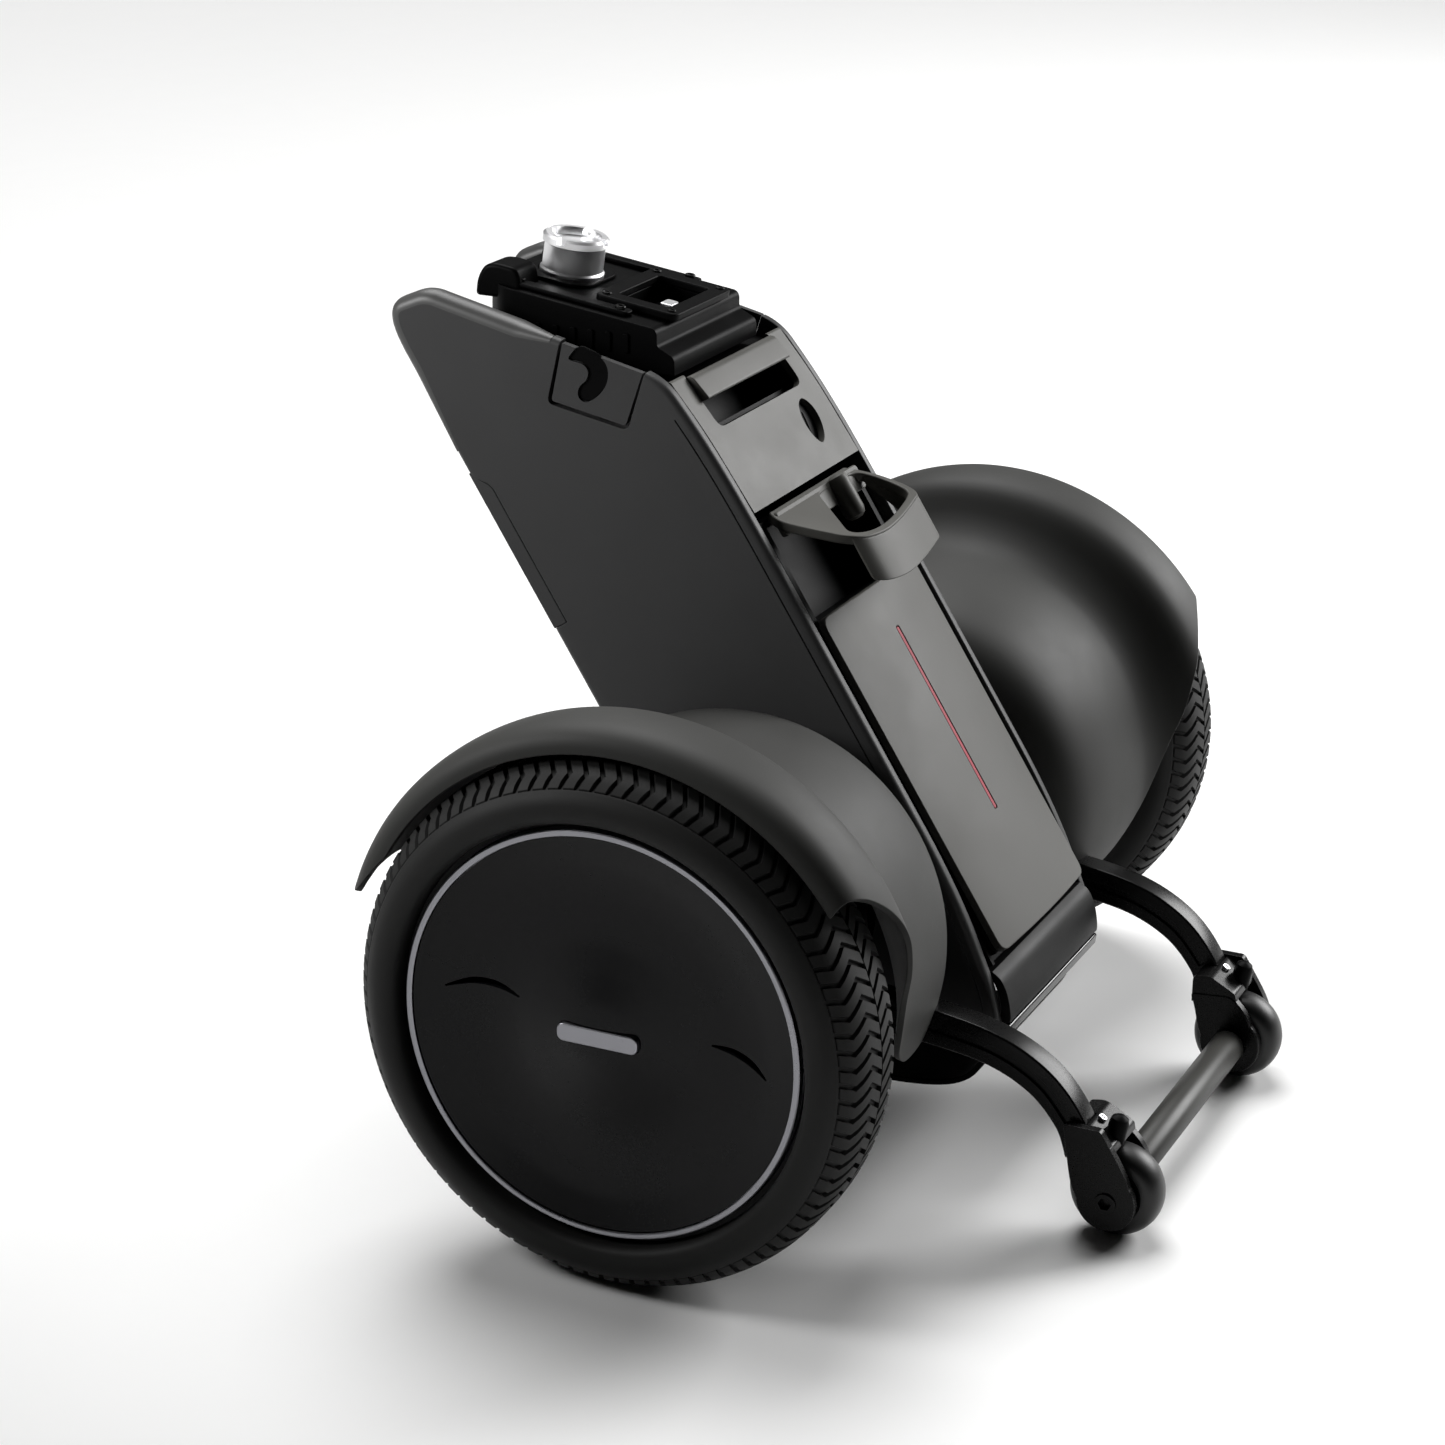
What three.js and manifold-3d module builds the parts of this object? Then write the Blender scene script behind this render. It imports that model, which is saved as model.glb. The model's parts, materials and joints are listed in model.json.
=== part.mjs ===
// Rear drive base of a powered personal mobility chair, taken off the chair and standing by itself.
// Two driven wheels under fenders carry a leaning body with a pull-out battery, and two curved
// arms with rollers hold it up from behind. Millimetres; +X along the axle, +Y forward, +Z up.

import * as THREE from "three";
import { mergeVertices } from "three/addons/utils/BufferGeometryUtils.js";
import Module from "manifold-3d";

const wasm = await Module();
wasm.setup();

// Driving dimensions
const WHEEL_RADIUS = 132.5;
const WHEEL_X = 242.7; // from the middle of the axle to the middle of a tyre
const TYRE_WIDTH = 66.2;
const TYRE_SHOULDER = 0.12; // share of the radius that the tread drops at its edges
const RIM_RADIUS = 103;
const SHAFT_RADIUS = 12;
const BODY_HALF = 74; // half the width over the side panels
const PANEL_THICK = 7;
const LEAN = THREE.MathUtils.degToRad(33); // the body's tilt forward from upright
const BODY_REAR = -95.5; // the rear face, in the leaning frame centred on the axle
const BODY_FRONT = 37.5;
const BATTERY_HALF = 60;
const BATTERY_LOW = -79;
const BATTERY_TOP = 113;
const GROOVE = 174; // height in the leaning frame where the handle meets the upper cover
const DOCK_HALF = 50;
const PIN_RADIUS = 17;
const PIN_HEIGHT = 21;
const ARM_X = [100, 115];
const ROLLER_RADIUS = 24;
const ROLLER_Y = -203.6;
const ROLLER_X = [90.3, 111.7];
const GAP = 0.4; // between pieces that touch

const X = new THREE.Vector3(1, 0, 0);
const Y = new THREE.Vector3(0, 1, 0);
const Z = new THREE.Vector3(0, 0, 1);

// Materials
const finish = (color, roughness, metalness) =>
  new THREE.MeshStandardMaterial({ color, roughness, metalness, flatShading: true });
const SATIN_CHARCOAL = finish(0x2a2a29, 0.5, 0.1);
const WARM_GREY = finish(0x4b4a46, 0.55, 0.15);
const GLOSS_BLACK = finish(0x0d0d0e, 0.15, 0.1);
const MATT_BLACK = finish(0x101010, 0.6, 0.1);
const RUBBER = finish(0x161616, 0.85, 0);
const STEEL = finish(0xb9bbbe, 0.2, 1);
const ALUMINIUM = finish(0x8f9194, 0.4, 0.9);
const RED = finish(0xa03a42, 0.5, 0);
const BOARD = finish(0x1f4a2c, 0.6, 0);

// Solids: geometry goes in and comes out, and manifold-3d only joins and cuts it.
function toSolid(geometry) {
  const bare = new THREE.BufferGeometry();
  bare.setAttribute("position", geometry.getAttribute("position").clone());
  if (geometry.index) bare.setIndex(geometry.index.clone());
  const merged = mergeVertices(bare, 1e-4);
  const vertProperties = merged.getAttribute("position").array;
  const triVerts = new Uint32Array(merged.index.array);
  const made = new wasm.Manifold(new wasm.Mesh({ numProp: 3, vertProperties, triVerts }));
  if (made.volume() > 0) return made;
  for (let i = 0; i < triVerts.length; i += 3) {
    [triVerts[i + 1], triVerts[i + 2]] = [triVerts[i + 2], triVerts[i + 1]];
  }
  return new wasm.Manifold(new wasm.Mesh({ numProp: 3, vertProperties, triVerts }));
}

function toGeometry(solid) {
  const { vertProperties, triVerts, numProp, numVert } = solid.getMesh();
  const position = new Float32Array(numVert * 3);
  for (let i = 0; i < numVert; i++) {
    position.set(vertProperties.subarray(i * numProp, i * numProp + 3), i * 3);
  }
  const geometry = new THREE.BufferGeometry();
  geometry.setAttribute("position", new THREE.BufferAttribute(position, 3));
  geometry.setIndex(new THREE.BufferAttribute(new Uint32Array(triVerts), 1));
  geometry.computeVertexNormals();
  return geometry;
}

const join = (...parts) => toGeometry(parts.map(toSolid).reduce((a, b) => a.add(b)));
const cut = (body, ...tools) =>
  toGeometry(tools.map(toSolid).reduce((a, b) => a.subtract(b), toSolid(body)));
const overlap = (a, b) => toGeometry(toSolid(a).intersect(toSolid(b)));
const mirrored = (geometry) => toGeometry(toSolid(geometry.clone().scale(-1, 1, 1)));

// A shape whose corners are given as [a, b, radius].
function rounded(corners) {
  const shape = new THREE.Shape();
  corners.forEach(([a, b, radius = 0], i) => {
    const corner = new THREE.Vector2(a, b);
    const towards = (other) => {
      const way = new THREE.Vector2(other[0], other[1]).sub(corner);
      const reach = Math.min(radius, way.length() * 0.49);
      return corner.clone().addScaledVector(way.normalize(), reach);
    };
    const start = towards(corners.at(i - 1));
    const end = towards(corners[(i + 1) % corners.length]);
    if (i === 0) shape.moveTo(start.x, start.y);
    else shape.lineTo(start.x, start.y);
    if (radius > 0) shape.quadraticCurveTo(a, b, end.x, end.y);
  });
  shape.closePath();
  return shape;
}

const rectangle = (a0, a1, b0, b1, radius = 0) =>
  rounded([
    [a0, b0, radius],
    [a1, b0, radius],
    [a1, b1, radius],
    [a0, b1, radius],
  ]);

function extruded(shape, depth, bevel, curveSegments) {
  return new THREE.ExtrudeGeometry(shape, {
    depth: depth - 2 * bevel,
    bevelEnabled: bevel > 0,
    bevelThickness: bevel,
    bevelSize: bevel,
    bevelOffset: -bevel,
    bevelSegments: 1,
    curveSegments,
  }).translate(0, 0, bevel);
}

// A side outline in (y, z), from x0 to x1.
function prism(shape, x0, x1, bevel = 0, curveSegments = 3) {
  const turned = new THREE.Matrix4().makeBasis(Y, Z, X);
  return extruded(shape, x1 - x0, bevel, curveSegments).applyMatrix4(turned).translate(x0, 0, 0);
}

// A rear outline in (x, z), from y0 back to y1.
function panel(shape, y0, y1, bevel = 0, curveSegments = 3) {
  const turned = new THREE.Matrix4().makeBasis(X, Z, Y.clone().negate());
  return extruded(shape, y1 - y0, bevel, curveSegments).applyMatrix4(turned).translate(0, y1, 0);
}

// A plan outline in (x, y), from z0 up to z1.
const plate = (shape, z0, z1, bevel = 0, curveSegments = 3) =>
  extruded(shape, z1 - z0, bevel, curveSegments).translate(0, 0, z0);

const box = (x0, x1, y0, y1, z0, z1) =>
  new THREE.BoxGeometry(x1 - x0, y1 - y0, z1 - z0).translate(
    (x0 + x1) / 2,
    (y0 + y1) / 2,
    (z0 + z1) / 2,
  );

// A profile of [x, radius] points, turned about the X axis.
const turned = (profile, segments) =>
  new THREE.LatheGeometry(
    profile.map(([x, r]) => new THREE.Vector2(r, x)),
    segments,
  ).rotateZ(-Math.PI / 2);

const rod = (radius, x0, x1, segments = 24) =>
  turned(
    [
      [x0, 0],
      [x0, radius],
      [x1, radius],
      [x1, 0],
    ],
    segments,
  );

const ring = (inner, outer, x0, x1, segments = 32) =>
  turned(
    [
      [x0, inner],
      [x0, outer],
      [x1, outer],
      [x1, inner],
      [x0, inner],
    ],
    segments,
  );

// The outline of a band along a smooth line through [a, b, half-width] points.
function band(points, steps) {
  const line = new THREE.SplineCurve(points.map(([a, b]) => new THREE.Vector2(a, b)));
  const width = new THREE.SplineCurve(points.map(([, , half], i) => new THREE.Vector2(i, half)));
  const near = [];
  const far = [];
  for (let i = 0; i <= steps; i++) {
    const t = i / steps;
    const middle = line.getPoint(t);
    const along = line.getTangent(t);
    const half = width.getPoint(t).y;
    near.push(new THREE.Vector2(middle.x - along.y * half, middle.y + along.x * half));
    far.unshift(new THREE.Vector2(middle.x + along.y * half, middle.y - along.x * half));
  }
  return new THREE.Shape([...near, ...far]);
}

// The scene graph: base stands on the floor, and body leans forward about the axle.
const base = new THREE.Group();
const body = new THREE.Group();
body.position.z = WHEEL_RADIUS;
body.rotation.x = -LEAN;
base.add(body);

function place(group, name, geometry, material) {
  const mesh = new THREE.Mesh(toGeometry(toSolid(geometry)), material);
  mesh.name = name;
  group.add(mesh);
}

function placePair(group, name, geometry, material) {
  place(group, name + "_right", geometry, material);
  place(group, name + "_left", mirrored(geometry), material);
}

// The side of the body, in the leaning frame.
const BODY_OUTLINE = [
  [BODY_FRONT, -60, 15],
  [BODY_FRONT, 361, 26],
  [7, 356, 7],
  [-89, 257, 12],
  [-93.5, 222, 20],
  [BODY_REAR, 180, 40],
  [BODY_REAR, -40, 40],
  [-86, -96, 12],
  [-77, -118, 8],
];
const LATCH_OUTLINE = [
  [-34, 310, 0],
  [-26, 276, 4],
  [-58, 243, 4],
  [-86, 267, 0],
];
const EDGE_NOTCH = [
  [BODY_FRONT + 2, 172, 0],
  [BODY_FRONT + 2, 266, 0],
  [28, 252, 3],
  [28, 172, 0],
];

// The same corners drawn in towards their middle.
function shrunk(points, share) {
  const middle = (k) => points.reduce((sum, corner) => sum + corner[k], 0) / points.length;
  const move = (value, k) => middle(k) + (value - middle(k)) * share;
  return points.map(([a, b, radius]) => [move(a, 0), move(b, 1), radius]);
}

function buildPanels() {
  const inner = BODY_HALF - PANEL_THICK;
  const blank = prism(rounded(BODY_OUTLINE), inner, BODY_HALF, 2.4, 5);
  const motorHole = rod(59, inner - 1, BODY_HALF + 1, 32);
  const latchHole = prism(rounded(LATCH_OUTLINE), inner - 1, BODY_HALF + 1);
  const notch = prism(rounded(EDGE_NOTCH), inner - 1, BODY_HALF + 1);
  placePair(body, "side_panel", cut(blank, motorHole, latchHole, notch), SATIN_CHARCOAL);
}

function buildLatches() {
  const key = prism(rounded(shrunk(LATCH_OUTLINE, 0.95)), 70.2, 73.4, 0.8);
  const stem = box(56, 71, -56, -46, 262, 272);
  const thumbRecess = prism(rectangle(-66, -42, 266, 278, 5), 71.8, 75);
  const trimmed = overlap(key, prism(rounded(BODY_OUTLINE), 50, 80, 0, 5));
  placePair(body, "latch_button", cut(join(trimmed, stem), thumbRecess), MATT_BLACK);
}

function buildFrontCover() {
  const half = BODY_HALF - PANEL_THICK - GAP;
  const sheet = box(-half, half, 31, 35, -46, 322);
  const ear = prism(rounded(shrunk(EDGE_NOTCH, 0.95)), half - 2, BODY_HALF - 0.6);
  const ears = overlap(join(ear, mirrored(ear)), box(-90, 90, 20, BODY_FRONT - 0.3, 0, 400));
  place(body, "front_cover", join(sheet, ears), SATIN_CHARCOAL);
}

function buildChassis() {
  const inner = BODY_HALF - PANEL_THICK - GAP;
  const outer = box(-52, 52, -18, 27, -70, 286);
  const hollow = box(-49, 49, -15, 24, -71, 287);
  const crossTube = rod(16, -inner, inner);
  const bore = rod(13, -inner - 1, inner + 1);
  place(body, "chassis_frame", cut(join(cut(outer, hollow), crossTube), bore), ALUMINIUM);
  const fins = [-30, -18, -6, 6, 18, 30].map((x) => box(x - 1.5, x + 1.5, 6, 20, -62, -20));
  place(body, "motor_controller", join(box(-40, 40, -10, 7, -64, -18), ...fins), ALUMINIUM);
  place(body, "control_board", box(-40, 40, 2, 4, 40, 160), BOARD);
}

function buildBatteryTray() {
  const half = 65;
  const back = box(-half, half, -22.5, -18.6, -82, 172);
  const wall = box(half - 2.5, half, -90, -20, -82, 172);
  const floor = box(-half, half, -83, -18.6, -84, -80);
  place(body, "battery_tray", join(back, wall, mirrored(wall), floor), MATT_BLACK);
}

function buildRearCovers() {
  const half = BODY_HALF - PANEL_THICK - GAP;
  const skin = rounded([
    [BODY_REAR, GROOVE + 2, 0],
    [BODY_REAR + 4, GROOVE + 2, 0],
    [-89.4, 222, 15],
    [-85, 253, 0],
    [-89, 254, 2],
    [-93.4, 222, 15],
  ]);
  const window = panel(rectangle(-51, 51, 221.5, 253, 6), -110, -70);
  const tear = (by) => {
    const outline = new THREE.Shape();
    outline.absellipse(38.5, 202, 4.6 + by, 11.5 + by, 0, 2 * Math.PI, false, -0.35);
    return outline;
  };
  const cover = cut(prism(skin, -half, half), window, panel(tear(GAP), -110, -70));
  place(body, "rear_upper_cover", cover, WARM_GREY);
  place(body, "key_port_plug", panel(tear(0), -94.6, -88), RUBBER);

  const pocket = box(-50.5, 50.5, -84.6, -64, 222, 246);
  const inside = box(-48.5, 48.5, -86, -66, 224, 244);
  place(body, "release_pocket", cut(pocket, inside), MATT_BLACK);
  const bar = prism(rectangle(-95.4, -90, 237, 251, 2.4), -49.8, 49.8, 1);
  place(body, "release_bar", bar, WARM_GREY);
}

function buildLowerTrim() {
  const half = BODY_HALF - PANEL_THICK - GAP;
  const trim = rounded([
    [-88, -84.5, 0],
    [-91, -97, 8],
    [-84.5, -112.5, 2],
    [-79.5, -110.5, 0],
    [-86, -97, 8],
    [-84, -84.5, 0],
  ]);
  place(body, "lower_trim", prism(trim, -half, half, 0, 4), SATIN_CHARCOAL);
  const lip = rounded([
    [-83, -113.4, 2],
    [-78.5, -119, 2],
    [-68, -114.5, 0],
    [-68, -111.5, 0],
    [-77, -114, 0],
    [-79, -112, 0],
  ]);
  place(body, "lower_lip", prism(lip, -half, half), GLOSS_BLACK);
}

// A rear plate that bulges outward across its width.
function crowned(half, y0, crown, thick, z0, z1, corner) {
  const outline = new THREE.Shape();
  outline.moveTo(-half, y0 + thick);
  outline.lineTo(-half, y0);
  outline.quadraticCurveTo(0, y0 - 2 * crown, half, y0);
  outline.lineTo(half, y0 + thick);
  outline.closePath();
  const bar = plate(outline, z0, z1, 0, 10);
  return overlap(bar, panel(rectangle(-half, half, z0, z1, corner), y0 - 20, y0 + 20));
}

function buildBattery() {
  const half = BATTERY_HALF;
  const shell = box(-half, half, -92, -26, BATTERY_LOW + 1, BATTERY_TOP - 1);
  const cells = box(-half + 3, half - 3, -93, -29, BATTERY_LOW + 4, BATTERY_TOP - 4);
  const neckBack = box(-half, half, -64, -58, BATTERY_TOP - 2, GROOVE - 4);
  const neckSide = box(half - 4, half, -91.5, -58, BATTERY_TOP - 2, GROOVE - 4);
  const neckTop = box(-half, half, -90, -58, GROOVE - 8, GROOVE - 4);
  const casing = join(cut(shell, cells), neckBack, neckSide, mirrored(neckSide), neckTop);
  place(body, "battery_case", casing, MATT_BLACK);
  place(body, "battery_cells", box(-52, 52, -86, -34, BATTERY_LOW + 10, BATTERY_TOP - 12), STEEL);

  const face = crowned(half + 0.5, -96.5, 4, 4, BATTERY_LOW, BATTERY_TOP, 7);
  const groove = box(-1.7, 1.7, -110, -99.2, -19.4, 88.4);
  place(body, "battery_face", cut(face, groove), WARM_GREY);
  place(body, "battery_stripe", box(-1.3, 1.3, -100.4, -99.6, -19, 88), RED);
}

const HANDLE_SLOPE = Math.atan(0.932);

function buildHandle() {
  const reach = 38;
  const root = BODY_REAR + 0.5;
  const loop = (inset) =>
    rounded([
      [-54 + inset, root + inset * 0.9, 0],
      [-54 + inset, root - reach * 0.5, 16],
      [-34 + inset * 0.6, root - reach + inset, 20],
      [0, root - reach - 1 + inset, 20],
      [34 - inset * 0.6, root - reach + inset, 20],
      [54 - inset, root - reach * 0.5, 16],
      [54 - inset, root + inset * 0.9, 0],
    ]);
  const wall = cut(plate(loop(0), 90, 190, 0, 5), plate(loop(4.5), 80, 200, 0, 5));
  const sloped = (low, high) =>
    box(-80, 80, -90, 90, low, high).rotateX(HANDLE_SLOPE).translate(0, root, GROOVE - 2);
  const skirt = overlap(wall, box(-80, 80, -180, root - 26, 60, 200));
  const web = rounded([
    [-50, root, 0],
    [-8, root - 2, 3],
    [-42, root - 29, 3],
    [-53, root - 20, 0],
  ]);
  const bridge = box(-54, 54, root - 4, root, GROOVE - 20, GROOVE - 2);
  const boss = rod(9, GROOVE - 26, GROOVE - 7, 16).rotateY(-Math.PI / 2).translate(12, root, 0);
  const grip = join(
    overlap(wall, sloped(-5, 0)),
    overlap(skirt, sloped(-17.5, 0)),
    overlap(plate(web, 90, 190), sloped(-4, 0)),
    overlap(bridge, sloped(-14.5, 3)),
    overlap(boss, box(0, 30, root - 20, root, 100, 200)),
  );
  place(body, "battery_handle", grip, WARM_GREY);
}

// The deck between the panels and the docking gear on it, in the standing frame.
const DOCK_FRONT = 186;
const DOCK_REAR = 73;
const DOCK_SLOPE = THREE.MathUtils.degToRad(8);

function buildDock() {
  const half = BODY_HALF - PANEL_THICK - GAP;
  const deck = band(
    [
      [68, 385.5, 1.5],
      [130, 389.5, 1.5],
      [199, 393.5, 1.5],
    ],
    2,
  );
  const stemRoom = box(52, 70, 84, 116, 370, 400);
  const sheet = cut(prism(deck, -half, half), stemRoom, mirrored(stemRoom));
  place(base, "top_deck", sheet, MATT_BLACK);

  const block = prism(
    rounded([
      [DOCK_REAR - 4, 391.8, 0],
      [DOCK_REAR - 4, 401, 3],
      [DOCK_REAR + 6, 406, 2],
      [DOCK_REAR + 6, 414.8, 4],
      [DOCK_FRONT, 430, 7],
      [DOCK_FRONT, 397, 0],
    ]),
    -DOCK_HALF,
    DOCK_HALF,
    3,
  );
  const cheek = prism(
    rounded([
      [158, 420, 0],
      [160, 436, 5],
      [DOCK_FRONT - 1, 439, 10],
      [DOCK_FRONT - 1, 420, 0],
    ]),
    24,
    46,
    2.5,
  );
  const dock = new THREE.Group();
  dock.position.set(0, 128, 422);
  dock.rotation.x = DOCK_SLOPE;
  base.add(dock);
  const recess = box(-26, 26, -44, -13, -14, 10).rotateX(DOCK_SLOPE).translate(0, 128, 422);
  place(base, "docking_bracket", cut(join(block, cheek, mirrored(cheek)), recess), MATT_BLACK);

  const frame = plate(rectangle(-34, 34, -52, -5, 5), 0.5, 4.5, 1);
  const opening = plate(rectangle(-24, 24, -43, -14, 3), -1, 6);
  place(dock, "connector_frame", cut(frame, opening), SATIN_CHARCOAL);
  place(dock, "connector_socket", plate(rectangle(-17, 17, -38, -19, 3), -13.5, -7, 1), GLOSS_BLACK);
  [-9, 9].forEach((x, i) => {
    const blade = box(x - 5, x + 5, -32, -25, -6.6, -3.4);
    place(dock, "connector_contact_" + (i ? "right" : "left"), blade, STEEL);
  });
  buildPin(dock);
}

function buildPin(dock) {
  const top = PIN_HEIGHT + 1;
  const profile = [
    [0.5, 0],
    [0.5, PIN_RADIUS],
    [3, PIN_RADIUS],
    [4, PIN_RADIUS - 1],
    [top - 5, PIN_RADIUS - 1],
    [top - 4, PIN_RADIUS + 0.4],
    [top - 1.2, PIN_RADIUS + 0.4],
    [top, PIN_RADIUS - 1],
    [top, PIN_RADIUS - 4],
    [top - 4, PIN_RADIUS - 5],
    [top - 4, 0],
  ];
  const post = turned(profile, 24);
  const slots = [0, 1, 2, 3].map((i) =>
    box(top - 3, top + 2, -2.4, 2.4, PIN_RADIUS - 6, PIN_RADIUS + 3).rotateX((i * Math.PI) / 2),
  );
  const upright = cut(post, ...slots).rotateY(-Math.PI / 2);
  place(dock, "docking_pin", upright.translate(0, 25, 0), STEEL);
}

function buildBelly() {
  const sheet = band(
    [
      [-122, 72, 1.5],
      [-108, 47, 1.5],
      [-80, 38, 1.5],
      [-35, 38, 1.5],
      [4, 50, 1.5],
      [22, 76, 1.5],
    ],
    14,
  );
  place(base, "belly_pan", prism(sheet, -62, 62), MATT_BLACK);
}

// Drive units, fenders and wheels, built for the right side.
function buildDrive() {
  const atAxle = (geometry) => geometry.translate(0, 0, WHEEL_RADIUS);
  placePair(base, "drive_motor", atAxle(rod(52, 67.6, 99.6, 28)), STEEL);
  const gearcase = cut(rod(66, 100, 150, 28), rod(SHAFT_RADIUS + 0.5, 122, 151));
  placePair(base, "gearbox", atAxle(gearcase), MATT_BLACK);
}

const ARM_LINE = [
  [-63, 99, 10],
  [-105, 96.5, 9.5],
  [-140, 90.5, 9],
  [-165, 78, 8.5],
  [-181, 60, 8],
  [-187, 43, 7.5],
];

const arm = (grow) =>
  prism(
    band(
      ARM_LINE.map(([y, z, half]) => [y, z, half + grow]),
      16,
    ),
    ARM_X[0] - grow,
    ARM_X[1] + grow,
    grow > 0 ? 0 : 2,
  );

// Everything beyond the plane through three points, on the side that the turning order faces.
function beyond(a, b, c) {
  const [first, second, third] = [a, b, c].map((point) => new THREE.Vector3(...point));
  const across = second.clone().sub(first).normalize();
  const out = new THREE.Vector3().crossVectors(across, third.sub(first)).normalize();
  const up = new THREE.Vector3().crossVectors(out, across);
  const frame = new THREE.Matrix4().makeBasis(across, up, out).setPosition(first);
  return box(-400, 400, -400, 400, 0, 400).applyMatrix4(frame);
}

function buildFenders() {
  const outside = [
    [78, 84],
    [84, 98],
    [95, 107],
    [120, 113],
    [150, 115],
    [174, 116.5],
    [187, 120],
    [205, 134],
    [214, 143.5],
    [230, 148],
    [246, 147.5],
    [256, 144],
    [259, 135.5],
  ];
  const inside = [
    [255.6, 135.5],
    [252, 142.5],
    [230, 144.5],
    [216, 140.8],
    [206, 130],
    [188, 116.2],
    [174, 113],
    [150, 111.5],
    [120, 109.5],
    [97, 103.5],
    [81, 84],
    [78, 84],
  ];
  const shell = turned([...outside, ...inside], 48).translate(0, 0, WHEEL_RADIUS);
  const tail = beyond([256, -113.5, 214], [213, -133, 185], [174, -116, 104]);
  const nose = beyond([246, 144.5, 175], [259, 118, 196], [174, 112, 104]);
  const foot = box(60, 300, -300, 300, -50, 93);
  placePair(base, "fender", cut(shell, tail, nose, foot, arm(1.2)), SATIN_CHARCOAL);
}

// A rubber tread that rounds off towards its edges, closed by the bead's own points.
function tyreProfile(half, radius, steps, drop, bead) {
  const tread = [];
  for (let i = 0; i <= steps; i++) {
    const t = (2 * i) / steps - 1;
    tread.push([t * half, radius * (1 - drop * Math.abs(t) ** 3.7)]);
  }
  return [...tread, ...bead, tread[0]];
}

function buildWheels() {
  const half = TYRE_WIDTH / 2;
  const bead = RIM_RADIUS + GAP;
  const tyre = tyreProfile(half, WHEEL_RADIUS, 8, TYRE_SHOULDER, [
    [half, 109],
    [27, bead],
    [-27, bead],
    [-half, 109],
  ]);
  const rim = [
    [-34, SHAFT_RADIUS + 0.4],
    [14, SHAFT_RADIUS + 0.4],
    [14, 26],
    [8, 28],
    [8, 92],
    [21.5, 95],
    [21.5, RIM_RADIUS],
    [-27, RIM_RADIUS],
    [-27, 96],
    [2, 92],
    [2, 28],
    [-34, 26],
    [-34, SHAFT_RADIUS + 0.4],
  ];
  const cover = [
    [19.4, 0],
    [19.6, 60],
    [22.4, 99.2],
    [25.6, 99.2],
    [23.5, 85],
    [22.8, 60],
    [24.5, 35],
    [28, 0],
  ];
  const atHub = (geometry) => geometry.translate(WHEEL_X, 0, WHEEL_RADIUS);
  const badge = (grow) => rectangle(-21 - grow, 21 + grow, -4.5 - grow, 4.5 + grow, 4);
  const frontSlot = [
    [84, 8, 0.6],
    [70, 12.5, 1.6],
    [57, 12.5, 1.6],
    [45, 9, 0.6],
  ];
  const rearSlot = [
    [-84, -6, 0.6],
    [-76, 0, 1.6],
    [-66, 3.5, 1.6],
    [-55, 4.5, 0.6],
  ];
  const slots = [frontSlot, rearSlot].map((line) => prism(band(line, 6), 10, 40));
  placePair(base, "tyre", atHub(turned(tyre, 48)), RUBBER);
  placePair(base, "rim", atHub(turned(rim, 28)), ALUMINIUM);
  const disc = cut(turned(cover, 32), prism(badge(GAP), 25, 40), ...slots);
  placePair(base, "wheel_cover", atHub(disc), GLOSS_BLACK);
  placePair(base, "cover_ring", atHub(ring(99.7, 102.8, 22, 26.8, 32)), STEEL);
  placePair(base, "hub_badge", atHub(prism(badge(0), 25.5, 29, 0.6)), STEEL);
  const shaft = rod(SHAFT_RADIUS, 123 - WHEEL_X, 15);
  placePair(base, "axle_shaft", atHub(shaft), STEEL);
}

// Anti-tip arms with their rollers.
function buildArms() {
  const [inner, outer] = [ROLLER_X[0] - 1, ROLLER_X[1] + 1];
  const atRoller = (geometry) => geometry.translate(0, ROLLER_Y, ROLLER_RADIUS);
  const neck = rounded([
    [-180, 62, 2],
    [-183, 42, 8],
    [-186, 27, 14],
    [-196, 14, 4],
    [-217, 28, 4],
    [-213, 40, 8],
    [-199, 62, 2],
  ]);
  const ear = (radius, x0, x1) => join(atRoller(rod(radius, x0, x1, 20)), prism(neck, x0, x1));
  const bridge = prism(rectangle(-199, -181, 45, 60, 2), inner - 5.5, outer + 8);
  const stop = rod(5, 50, 66, 14).rotateY(-Math.PI / 2).rotateX(0.2).translate(104, -191, 0);
  const bore = atRoller(rod(4.4, 70, 140, 12));
  const wheelRoom = atRoller(rod(ROLLER_RADIUS + 1.6, inner, ARM_X[1] + 0.6, 24));
  const bracket = cut(
    join(ear(16.5, inner - 5.5, inner), ear(15, ARM_X[1] + 0.6, outer + 8), bridge, stop),
    bore,
    wheelRoom,
    arm(0.6),
  );
  placePair(base, "support_arm", cut(arm(0), wheelRoom), MATT_BLACK);
  placePair(base, "roller_bracket", bracket, MATT_BLACK);

  const half = (ROLLER_X[1] - ROLLER_X[0]) / 2;
  const middle = (ROLLER_X[1] + ROLLER_X[0]) / 2;
  const tyre = tyreProfile(half, ROLLER_RADIUS, 4, 0.28, [
    [half, 15.4],
    [-half, 15.4],
  ]);
  placePair(base, "roller_tyre", atRoller(turned(tyre, 24).translate(middle, 0, 0)), RUBBER);
  placePair(base, "roller_hub", atRoller(ring(4.4, 15, ROLLER_X[0], ROLLER_X[1], 16)), MATT_BLACK);
  placePair(base, "roller_pin", atRoller(rod(4, inner - 5, outer + 9, 12)), STEEL);
  place(base, "cross_bar", atRoller(rod(9, 6 - inner, inner - 6, 20)), ALUMINIUM);
}

buildPanels();
buildLatches();
buildFrontCover();
buildChassis();
buildBatteryTray();
buildRearCovers();
buildLowerTrim();
buildBattery();
buildHandle();
buildDock();
buildBelly();
buildDrive();
buildFenders();
buildWheels();
buildArms();

// The part's origin lies under its middle, on the floor.
const extent = new THREE.Box3().setFromObject(base, true);
base.position.y = -(extent.min.y + extent.max.y) / 2;

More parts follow.
